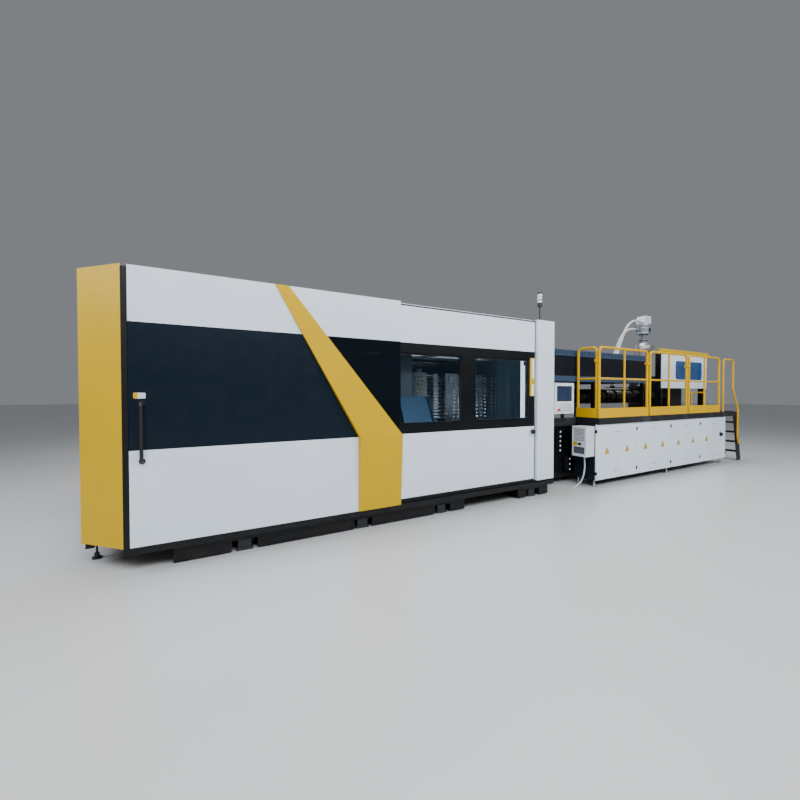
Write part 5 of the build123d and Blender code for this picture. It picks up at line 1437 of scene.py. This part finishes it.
@dataclass
class Enclosure(SubAssembly):
    """Walls, roof, corner panels and frame of the clamp end, with the signal lamp.

    Attributes:
        seam: Rubber seam at the corner.
        screws: Screw heads of the column cover and of the bevelled corner.
        lamp_place: Stations u and v of the signal lamp's pole.
        lamp_rings: Foot, top, radius and finish of the lamp's dark parts.
        lamp_sides: Number of their flats.
    """

    nodes: tuple[tuple[str, Finish], ...] = (
        # The roof and wall paints carry painted shade on their inner faces.
        ("roof_panels", Finish.ROOF_PAINT),
        ("wall_panels", Finish.WALL_PAINT),
        ("column_cover", Finish.WHITE_PAINT),
        ("corner_fascias", Finish.YELLOW_PAINT),
        ("enclosure_frame", Finish.BLACK_PAINT),
        ("signal_tower", Finish.LENS),
    )
    seam: Slab = Slab((-44.0, 1.0, 228.0), (-3.5, 59.0, 2528.0), Finish.SEAL)
    screws: tuple[ScrewHeads, ...] = (
        ScrewHeads(2, 0.295, (4947.5, 0.0, 1390.0), Finish.WHITE_PAINT),
        ScrewHeads(2, 0.40, (-212.5, 167.5, 1390.0), Finish.YELLOW_PAINT, turn=-45.0),
    )
    lamp_place: Pair = (4905.0, 85.0)
    lamp_rings: tuple[tuple[float, float, float, Finish], ...] = (
        (2544.0, 2568.0, 0.0270, Finish.BLACK_PLASTIC),
        (2566.0, 2761.0, 0.0094, Finish.BLACK_PLASTIC),
        (2759.5, 2811.5, 0.0346, Finish.BLACK_PLASTIC),
        (2846.0, 2858.0, 0.0326, Finish.BLACK_PLASTIC),
        (2896.0, 2901.0, 0.0326, Finish.BLUE_PLASTIC),
        (2937.0, 2960.5, 0.0346, Finish.BLACK_PLASTIC),
    )
    lamp_sides: int = 32

    def add_pieces(self) -> None:
        """Adds the corner's rubber seam, the screw heads and the signal lamp's dark parts."""
        assemble("corner_seam", Body.MACHINE, Slot.BLACK_PLASTIC, [self.seam])
        assemble("enclosure_screws", Body.MACHINE, Slot.WHITE_PAINT, self.screws)
        rings = [
            Rod(
                (*self.lamp_place, low), (*self.lamp_place, top), radius, finish,
                self.lamp_sides, square=True,
            )
            for low, top, radius, finish in self.lamp_rings
        ]
        assemble("signal_lamp_rings", Body.MACHINE, Slot.LAMP_LENS, rings)


@dataclass
class ClampDoor(SubAssembly):
    """Sliding door over the clamp, with its tinted pane and folded band.

    Attributes:
        plates: Blank plate over the handle and its yellow part.
    """

    nodes: tuple[tuple[str, Finish], ...] = (
        ("clamp_door", Finish.CLAMP_DOOR_PAINT),
        ("clamp_door_glass", Finish.TINTED),
        ("clamp_door_fascia", Finish.YELLOW_PAINT),
        ("clamp_door_handle", Finish.BLACK_PLASTIC),
    )
    plates: tuple[Plate, ...] = (
        Plate(
            (76.0, -2.0, 1478.0), rounded(0.085, 0.048, 0.006), 0.002, Finish.GREY_PLASTIC,
            ease=0.0005,
        ),
        Plate((49.0, -2.6, 1478.0), rounded(0.030, 0.047, 0.005), 0.0008, Finish.YELLOW_PAINT),
    )

    def add_pieces(self) -> None:
        """Adds the blank plate above the handle."""
        assemble("clamp_door_plate", Body.CLAMP_DOOR, Slot.GREY_PLASTIC, self.plates)


@dataclass
class MouldDoor(SubAssembly):
    """Windowed sliding door over the mould, with its latch.

    Attributes:
        beads: Rubber beads round the windows.
        edge_seal: Seal at the door's closing edge.
        strip: Yellow strip at that edge and its two blank labels.
    """

    nodes: tuple[tuple[str, Finish], ...] = (
        ("mould_door", Finish.MOULD_DOOR_PAINT),
        ("mould_door_windows", Finish.CLEAR),
        ("mould_door_latch", Finish.BLACK_PLASTIC),
    )
    beads: tuple[Bead, ...] = tuple(
        Bead((middle, 40.4, 1550.0), (0.96, 0.80), corner=0.04, radius=0.004, finish=Finish.SEAL)
        for middle in (2950.0, 4150.0)
    )
    edge_seal: Slab = Slab((4761.0, 39.4, 272.0), (4769.5, 40.0, 2508.0), Finish.SEAL)
    strip: tuple[Plate, ...] = (
        Plate((4706.0, 38.5, 1726.0), rounded(0.092, 0.54, 0.004), 0.0015, Finish.YELLOW_PAINT),
        Plate((4723.0, 37.7, 1846.0), rounded(0.054, 0.284, 0.003), 0.0008, Finish.BLANK_LABEL),
        Plate((4723.0, 37.7, 1542.0), rounded(0.054, 0.160, 0.003), 0.0008, Finish.BLANK_LABEL),
    )

    def add_pieces(self) -> None:
        """Adds the windows' beads, the seal at the door's edge and the blank strip."""
        seals = (*self.beads, self.edge_seal)
        assemble("window_beads", Body.MOULD_DOOR, Slot.BLACK_PLASTIC, seals)
        assemble("mould_door_blank_strip", Body.MOULD_DOOR, Slot.YELLOW_PAINT, self.strip)


@dataclass
class RearGuard(SubAssembly):
    """Sliding guard at the back of the mould."""

    nodes: tuple[tuple[str, Finish], ...] = (("rear_door", Finish.REAR_PAINT),)


@dataclass
class ClampUnit(SubAssembly):
    """Bed, platens, tie bars, clamping cylinder and chute.

    Attributes:
        light_face: Lit face of the work light.
    """

    nodes: tuple[tuple[str, Finish], ...] = (
        ("clamp_bed", Finish.BLACK_PAINT),
        ("levelling_feet", Finish.FOOT_FORGING),
        ("clamp_cylinder", Finish.CAST_PAINT),
        ("stationary_platen", Finish.CAST_PAINT),
        ("moving_platen", Finish.RAM_CASTING),
        ("tie_bars", Finish.POLISHED),
        ("preform_chute", Finish.BLUED),
    )
    light_face: Slab = Slab((4648.0, 196.5, 1096.0), (4732.0, 199.8, 2004.0), Finish.WORK_LIGHT)

    def add_pieces(self) -> None:
        """Adds the lit face of the strip light behind the mould door."""
        assemble("work_light_face", Body.MACHINE, Slot.LAMP_LENS, [self.light_face])


@dataclass
class Mould(SubAssembly):
    """Mould halves, stripper plate and take-out arm.

    Attributes:
        cavity_ports: Water ports of the cavity half and its hot half.
        terminal_box: Box for the hot half's cables.
        hose_tails: Brass tails beside it.
        core_ports: Water ports of the core half.
        connectors: Connector bars on the stripper plate.
    """

    nodes: tuple[tuple[str, Finish], ...] = (
        ("cavity_half", Finish.MOULD_STEEL),
        ("core_half", Finish.MOULD_STEEL),
        ("stripper_plate", Finish.MOULD_STEEL),
        ("takeout_guide", Finish.ALUMINIUM),
        ("takeout_beam", Finish.ALUMINIUM),
        ("takeout_plate", Finish.ALUMINIUM),
    )
    cavity_ports: tuple[WaterPorts, ...] = (
        WaterPorts(1, 0.05, (3905.0, 800.0, 1430.0), Finish.POLISHED),
        WaterPorts(1, 0.05, (4005.0, 812.0, 1430.0), Finish.POLISHED),
        WaterPorts(2, 0.07, (4325.0, 812.0, 1430.0), Finish.POLISHED),
        WaterPorts(1, 0.05, (4460.0, 740.0, 1430.0), Finish.POLISHED),
        WaterPorts(3, 0.09, (4520.0, 560.0, 1430.0), Finish.POLISHED, plane=Plane.CLAMP_END),
    )
    terminal_box: Slab = Slab(
        (3800.0, 774.0, 1660.0), (3852.0, 799.5, 1750.0), Finish.BLANK_LABEL, ease=0.003
    )
    hose_tails: tuple[Rod, ...] = tuple(
        Rod((3768.0, 799.5, z), (3768.0, 776.0, z), 0.016, Finish.BRASS, sides=16)
        for z in (1180.0, 1420.0, 1560.0)
    )
    core_ports: WaterPorts = WaterPorts(2, 0.07, (3305.0, 800.0, 1430.0), Finish.BRASS)
    connectors: BarRow = BarRow(
        14, (0.0, 0.043, 0.0), (0.070, 0.020, 0.012), (3570.0, 804.0, 1150.0), Finish.BLANK_LABEL
    )

    def add_pieces(self) -> None:
        """Adds the water ports of both halves and the stripper plate's connector bars."""
        fixed = (*self.cavity_ports, self.terminal_box, *self.hose_tails)
        assemble("cavity_water_ports", Body.MACHINE, Slot.BRASS_FITTINGS, fixed)
        assemble("core_water_ports", Body.PLATEN, Slot.BRASS_FITTINGS, [self.core_ports])
        assemble(
            "stripper_connector_bars", Body.STRIPPER, Slot.MACHINED_STEEL, [self.connectors]
        )


@dataclass
class InjectionUnit(SubAssembly):
    """Bed, carriage, barrel, hopper, loader and hoses.

    Attributes:
        terminals: Terminal boxes of the heater bands.
        hopper_place: Stations u and v of the hopper's axis.
        hoops: Foot, top, radius, finish and flats of the bands round the loader and the hopper.
        loader_plates: Catch and blank plate of the loader.
        fittings: Hose fittings of the water manifolds.
        hose_radius: Radius of the suction hoses.
        hose_lengths: Length of each hose, in metres; not used.
        hose_points: Route of each hose, in metres, from the loader to the carriage's shelf.
    """

    nodes: tuple[tuple[str, Finish], ...] = (
        ("injection_bed", Finish.BLACK_PAINT),
        ("injection_carriage", Finish.GRAPHITE_PAINT),
        ("injection_barrel", Finish.BANDS),
        ("plasticating_screw", Finish.MACHINED),
        ("material_hopper", Finish.STAINLESS),
        ("hopper_loader", Finish.LOADER_PAINT),
        ("water_manifolds", Finish.BLACK_PAINT),
    )
    terminals: tuple[Slab, ...] = tuple(
        Slab((u, 935.0, 1380.0), (u + 140.0, 953.0, 1480.0), Finish.BLACK_PLASTIC, ease=0.003)
        for u in steps(6080.0, pitch=320.0, count=10)
    )
    hopper_place: Pair = (9490.0, 1100.0)
    hoops: tuple[tuple[float, float, float, Finish, int], ...] = (
        (2852.0, 2866.0, 0.1365, Finish.STAINLESS, 48),
        (2975.0, 2989.0, 0.1365, Finish.STAINLESS, 48),
        (3040.0, 3054.0, 0.1365, Finish.STAINLESS, 48),
        (2503.0, 2521.0, 0.2015, Finish.DULL, 72),
        (2538.0, 2556.0, 0.2015, Finish.DULL, 72),
    )
    loader_plates: tuple[Slab, ...] = (
        Slab((9455.0, 963.0, 2870.0), (9525.0, 985.0, 2960.0), Finish.BLACK_PLASTIC),
        Slab((9395.0, 1009.0, 3095.0), (9585.0, 1010.0, 3215.0), Finish.PALE_PAINT),
    )
    fittings: tuple[Rod, ...] = tuple(
        Rod((u, 318.0, z), (u, 323.5, z), 0.0165, Finish.BLANK_LABEL, sides=18)
        for u, heights in (
            (5680.0, steps(570.0, pitch=75.0, count=5)),
            (5920.0, steps(240.0, pitch=85.0, count=3)),
        )
        for z in heights
    )
    hose_radius: float = 0.025
    hose_lengths: Pair = (1.942, 1.730)
    hose_points: tuple[tuple[Point, ...], ...] = (
        (
            (3.800, -0.234, 3.110),
            (3.625, -0.234, 3.110),
            (3.410, -0.238, 3.030),
            (3.240, -0.244, 2.860),
            (3.100, -0.246, 2.630),
            (2.970, -0.246, 2.370),
            (2.875, -0.242, 2.110),
            (2.850, -0.234, 1.870),
            (2.850, -0.234, 1.644),
        ),
        (
            (3.800, -0.129, 2.940),
            (3.635, -0.129, 2.940),
            (3.440, -0.125, 2.865),
            (3.280, -0.121, 2.710),
            (3.150, -0.118, 2.500),
            (3.035, -0.118, 2.275),
            (2.970, -0.123, 2.050),
            (2.960, -0.129, 1.840),
            (2.960, -0.129, 1.644),
        ),
    )

    def hoses(self) -> None:
        """Adds the suction hoses, held by the loader and by the carriage's shelf."""
        for number, points in enumerate(self.hose_points, 1):
            curve = spline(f"loader_hose_{number}", points, self.hose_radius)
            piece = settle(f"loader_hose_{number}", curve, Body.CARRIAGE)
            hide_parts("loader_hoses")

    def add_pieces(self) -> None:
        """Adds heater terminals, the loader's hoops and plates, hose fittings and hoses."""
        assemble("heater_terminals", Body.CARRIAGE, Slot.BLACK_PLASTIC, self.terminals)
        hoops = [
            Rod((*self.hopper_place, low), (*self.hopper_place, top), radius, finish, sides)
            for low, top, radius, finish, sides in self.hoops
        ]
        trim = (*hoops, *self.loader_plates)
        assemble("loader_trim", Body.CARRIAGE, Slot.STAINLESS, trim)
        assemble("manifold_fittings", Body.MACHINE, Slot.BRASS_FITTINGS, self.fittings)
        self.hoses()


@dataclass
class Covers(SubAssembly):
    """Hood over the barrel and the guard beside the drive."""

    nodes: tuple[tuple[str, Finish], ...] = (
        ("injection_cover", Finish.HOOD_PAINT),
        ("cover_stands", Finish.BLACK_PAINT),
        ("injection_guard", Finish.GUARD_PAINT),
        ("guard_window", Finish.GUARD_PANE),
    )


@dataclass
class Walkway(SubAssembly):
    """Deck, rails, ladder and handrail.

    Attributes:
        tread: Raised lozenges of the deck.
    """

    nodes: tuple[tuple[str, Finish], ...] = (
        ("platform_deck", Finish.TREAD),
        ("platform_railing", Finish.RAIL_PAINT),
        ("access_ladder", Finish.BLACK_PAINT),
        ("ladder_handrail", Finish.RAIL_PAINT),
    )
    tread: Lozenges = Lozenges(
        146, 9, 0.032, (0.024, 0.006, 0.0024), (8450.0, 108.0, 1108.6), Finish.TREAD
    )

    def add_pieces(self) -> None:
        """Adds the raised lozenges of the deck."""
        assemble("deck_lozenges", Body.MACHINE, Slot.TREAD_PLATE, [self.tread])


@dataclass
class Cabinet(SubAssembly):
    """Electrical cabinet, its doors, air conditioner and condensate hose.

    Attributes:
        left: Station u of the first door's left edge.
        door_width: Pitch of the doors, in millimetres.
        doors: Number of doors.
        lock_inset: Distance of the locks from the free edge, in millimetres.
        lock_heights: Station z of each lock.
        lock_ends: Stations v of a lock's back and face.
        lock_radius: Radius of a lock.
        sign_side: Side of a triangular plate.
        sign_layers: Share of that side, station v and finish of each of its sheets.
        sign_depth: Thickness of a sheet.
        sign_z: Station z of a triangle's middle.
        switch_plate: Plate round the main switch.
        cooler: Grilles, bars and blank plates of the air conditioner.
        drain_radius: Radius of the condensate hose.
        drain_length: Its length, in metres; not used.
        drain_points: Its route, in metres, from the air conditioner to the floor.
    """

    nodes: tuple[tuple[str, Finish], ...] = (
        # The cabinet body's navy paint is painted shade in the door gaps and under the doors.
        ("cabinet_body", Finish.GAP_SHADE_PAINT),
        ("cabinet_hinges", Finish.BLACK_PAINT),
        *((f"cabinet_door_{number}", Finish.WHITE_PAINT) for number in range(1, 9)),
        ("air_conditioner", Finish.GREY_PLASTIC),
        ("main_switch_knob", Finish.BLACK_PLASTIC),
    )
    left: float = 6010.0
    door_width: float = 556.0
    doors: int = 8
    lock_inset: float = 48.0
    lock_heights: Pair = (245.0, 870.0)
    lock_ends: Pair = (-83.9, -86.0)
    lock_radius: float = 0.0115
    sign_side: float = 0.125
    sign_layers: tuple[tuple[float, float, Finish], ...] = (
        (1.0, -81.0, Finish.BLACK_PLASTIC),
        (0.84, -81.6, Finish.YELLOW_PAINT),
    )
    sign_depth: float = 0.0009
    sign_z: float = 560.0
    switch_plate: Slab = Slab(
        (10182.0, -81.0, 584.0), (10274.0, -80.0, 676.0), Finish.SLATE_PLASTIC
    )
    cooler: tuple[Detail, ...] = (
        Slab((5807.5, -27.0, 749.0), (5808.5, 167.0, 935.0), Finish.SLATE_PLASTIC),
        Slab((5807.5, -27.0, 544.0), (5808.5, 167.0, 646.0), Finish.BLACK_PLASTIC),
        BarRow(
            13, (0.0145, 0.0, 0.0), (0.004, 0.098, 0.003), (5805.0, 157.0, 595.0),
            Finish.SLATE_PLASTIC, tilt=(0.0, 0.0, 0.5), plane=Plane.CLAMP_END,
        ),
        Slab((5794.2, 100.0, 668.0), (5795.0, 170.0, 730.0), Finish.YELLOW_PAINT),
        Slab((5794.2, 30.0, 676.0), (5795.0, 88.0, 716.0), Finish.BLACK_PLASTIC),
    )
    drain_radius: float = 0.011
    drain_length: float = 0.603
    drain_points: tuple[Point, ...] = (
        (0.500, -1.219, 0.470),
        (0.500, -1.219, 0.410),
        (0.502, -1.225, 0.340),
        (0.486, -1.229, 0.265),
        (0.466, -1.227, 0.185),
        (0.434, -1.219, 0.110),
        (0.388, -1.207, 0.056),
        (0.322, -1.197, 0.014),
        (0.238, -1.199, 0.012),
    )

    def locks(self, index: int) -> list[Detail]:
        """Lock inserts at the free edge of one door, which is on the right of every other one.

        Args:
            index: Number of the door, from 0.

        Returns:
            The inserts.
        """
        edge = self.left + index * self.door_width
        u = edge + self.lock_inset
        if index % 2 == 0:
            u = edge + self.door_width - self.lock_inset
        back, face = self.lock_ends
        return [
            Rod((u, back, z), (u, face, z), self.lock_radius, Finish.BLACK_PLASTIC, sides=16)
            for z in self.lock_heights
        ]

    def sign(self, index: int) -> list[Detail]:
        """Blank triangular plate on the middle of one door: a yellow sheet on a black one.

        Args:
            index: Number of the door, from 0.

        Returns:
            The plate's two sheets.
        """
        middle = self.left + (index + 0.5) * self.door_width
        sheets: list[Detail] = []
        for scale, v, finish in self.sign_layers:
            half = self.sign_side / 2 * scale
            foot = half / math.sqrt(3)
            outline = [(-half, -foot), (half, -foot), (0.0, 2 * foot)]
            place = (middle, v, self.sign_z)
            sheets.append(Plate(place, outline, self.sign_depth, finish))
        return sheets

    def drain(self) -> None:
        """Adds the condensate hose from the air conditioner to the floor."""
        curve = spline("condensate_hose", self.drain_points, self.drain_radius)
        piece = settle("condensate_hose", curve, Body.MACHINE)
        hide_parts("drain_hose")

    def add_pieces(self) -> None:
        """Adds each door's plates, the air conditioner's grilles and its hose."""
        for index in range(self.doors):
            last = index == self.doors - 1
            plates = self.locks(index) + ([self.switch_plate] if last else self.sign(index))
            number = index + 1
            assemble(f"door_plate_{number}", f"bay_door_{number}", Slot.YELLOW_PAINT, plates)
        assemble("cooler_grilles", Body.MACHINE, Slot.BLACK_PLASTIC, self.cooler)
        self.drain()


@dataclass
class OperatorPanel(SubAssembly):
    """Operator panel on its swivel.

    Attributes:
        fields: Left, right, foot and top of the display's lit fields.
        field_depth: Stations v of their face and back.
        first_key: Stations u and z of the lowest key at the left.
        key_pitch: Pitch of the keys across and up, in millimetres.
        key_size: Width and height of a key, in millimetres.
        key_depth: Stations v of a key's face and back.
        key_columns: Number of columns.
        key_rows: Number of rows.
    """

    nodes: tuple[tuple[str, Finish], ...] = (
        ("hmi_housing", Finish.GREY_PLASTIC),
        ("hmi_screen", Finish.DISPLAY),
        ("hmi_arm", Finish.BLACK_PAINT),
        ("stop_button", Finish.RED_PLASTIC),
    )
    fields: tuple[tuple[float, float, float, float], ...] = (
        (5193.0, 5517.0, 1588.0, 1600.0),
        (5193.0, 5297.0, 1500.0, 1580.0),
        (5311.0, 5409.0, 1500.0, 1580.0),
        (5423.0, 5517.0, 1500.0, 1580.0),
        (5193.0, 5409.0, 1386.0, 1492.0),
        (5423.0, 5517.0, 1386.0, 1492.0),
    )
    field_depth: Pair = (1.5, 1.9)
    first_key: Pair = (5260.0, 1224.0)
    key_pitch: Pair = (46.0, 42.0)
    key_size: Pair = (34.0, 26.0)
    key_depth: Pair = (-3.5, -3.0)
    key_columns: int = 6
    key_rows: int = 3

    def key(self, column: int, row: int) -> Slab:
        """Cap of one key.

        Args:
            column: Its column, from the left.
            row: Its row, from the foot.

        Returns:
            The cap.
        """
        u = self.first_key[0] + column * self.key_pitch[0]
        z = self.first_key[1] + row * self.key_pitch[1]
        face, back = self.key_depth
        far = (u + self.key_size[0], back, z + self.key_size[1])
        return Slab((u, face, z), far, Finish.KEY_PLASTIC)

    def add_pieces(self) -> None:
        """Adds the lit fields of the display and the caps of the keys."""
        face, back = self.field_depth
        lit = [
            Slab((left, face, low), (right, back, top), Finish.DISPLAY_LIGHT)
            for left, right, low, top in self.fields
        ]
        assemble("display_fields", Body.PANEL, Slot.SCREEN_GLASS, lit)
        keys = [
            self.key(column, row)
            for column in range(self.key_columns)
            for row in range(self.key_rows)
        ]
        assemble("key_caps", Body.PANEL, Slot.GREY_PLASTIC, keys)


# Studio


@dataclass(frozen=True)
class Softbox:
    """Soft rectangular light.

    Attributes:
        name: Its name.
        place: Its middle, in metres.
        aim: Point that it faces.
        size: Width and height.
        power: Power in watts.
    """

    name: str
    place: Point
    aim: Point
    size: Pair
    power: float

    def add(self, color: Point) -> None:
        """Adds the light to the scene.

        Args:
            color: Colour of its light.
        """
        data = bpy.data.lights.new(self.name, "AREA")
        data.shape = "RECTANGLE"
        data.size, data.size_y = self.size
        data.energy = self.power
        data.color = color
        lamp = bpy.data.objects.new(self.name, data)
        lamp.location = self.place
        direction = Vector(self.aim) - Vector(self.place)
        lamp.rotation_euler = direction.to_track_quat("-Z", "Y").to_euler()
        bpy.context.scene.collection.objects.link(lamp)


@dataclass
class Studio:
    """Plain floor, soft lights and the camera.

    Attributes:
        eye: The camera's place, in metres.
        heading: Degrees that it looks to the right of straight ahead.
        pitch: Degrees that it looks up.
        lens: Its focal length, in millimetres.
        sensor: Width of its sensor, in millimetres.
        view_depth: Farthest distance that it sees, in metres.
        floor_reach: Distance from the middle to the floor's edges, in metres.
        floor_color: Linear colour of the floor.
        sky_color: Colour of the even light.
        sky_strength: Its strength.
        lamp_color: Colour of the soft lights.
        lamps: The soft lights.
    """

    eye: Point = (-4.984, -5.038, 1.5)
    heading: float = 28.94
    pitch: float = -1.07
    lens: float = 16.92
    sensor: float = 36.0
    view_depth: float = 200.0
    floor_reach: float = 60.0
    floor_color: Point = (0.62, 0.63, 0.64)
    sky_color: Point = (0.80, 0.84, 0.90)
    sky_strength: float = 0.26
    lamp_color: Point = (0.97, 0.985, 1.0)
    lamps: tuple[Softbox, ...] = (
        Softbox("key", (-5.0, -7.0, 6.5), (-2.0, -1.2, 1.2), (7.0, 3.0), 640.0),
        Softbox("fill", (3.0, -7.5, 6.0), (3.0, -1.0, 1.2), (7.0, 3.0), 520.0),
        Softbox("top", (0.0, 0.0, 8.0), (0.0, 0.0, 0.0), (12.0, 3.0), 400.0),
        Softbox("clamp_end", (-10.0, -1.0, 4.5), (-5.8, -0.5, 1.3), (3.0, 3.0), 215.0),
        Softbox("rear", (0.0, 8.0, 6.0), (0.0, 0.0, 1.2), (10.0, 3.0), 240.0),
    )

    def floor(self) -> None:
        """Adds the pale floor, which runs past the camera's view."""
        shader = Shader("studio_floor")
        rough = shader.noise(scale=1.2, detail=3.0) * 0.1 + 0.28
        surface = shader.surface({"Base Color": rgba(self.floor_color), "Roughness": rough})
        mesh = bpy.data.meshes.new("studio_floor")
        reach = self.floor_reach
        corners = [(-reach, -reach, 0), (reach, -reach, 0), (reach, reach, 0), (-reach, reach, 0)]
        mesh.from_pydata(corners, [], [(0, 1, 2, 3)])
        mesh.materials.append(shader.output(surface))
        floor = bpy.data.objects.new("studio_floor", mesh)
        bpy.context.scene.collection.objects.link(floor)

    def sky(self) -> None:
        """Adds the even light from all round."""
        world = bpy.data.worlds.new("studio")
        world.use_nodes = True
        background = world.node_tree.nodes["Background"]
        background.inputs["Color"].default_value = rgba(self.sky_color)
        background.inputs["Strength"].default_value = self.sky_strength
        bpy.context.scene.world = world

    def camera(self) -> None:
        """Adds the camera at the photograph's viewing angle."""
        data = bpy.data.cameras.new("camera")
        data.lens = self.lens
        data.sensor_width = self.sensor
        data.clip_end = self.view_depth
        camera = bpy.data.objects.new("camera", data)
        camera.location = self.eye
        camera.rotation_euler = (math.radians(90 + self.pitch), 0, math.radians(-self.heading))
        bpy.context.scene.collection.objects.link(camera)
        bpy.context.scene.camera = camera

    def build(self) -> None:
        """Builds the studio."""
        self.floor()
        self.sky()
        for lamp in self.lamps:
            lamp.add(self.lamp_color)
        self.camera()


def main() -> None:
    """Builds the machine's sub-assemblies in order, then the studio."""
    logging.basicConfig(level=logging.INFO, format="%(name)s: %(message)s")
    assemblies = (
        Enclosure(),
        ClampDoor(),
        MouldDoor(),
        RearGuard(),
        ClampUnit(),
        Mould(),
        InjectionUnit(),
        Covers(),
        Walkway(),
        Cabinet(),
        OperatorPanel(),
    )
    for assembly in assemblies:
        log.info("building %s", type(assembly).__name__)
        assembly.build()
    Studio().build()


if __name__ == "__main__":
    main()
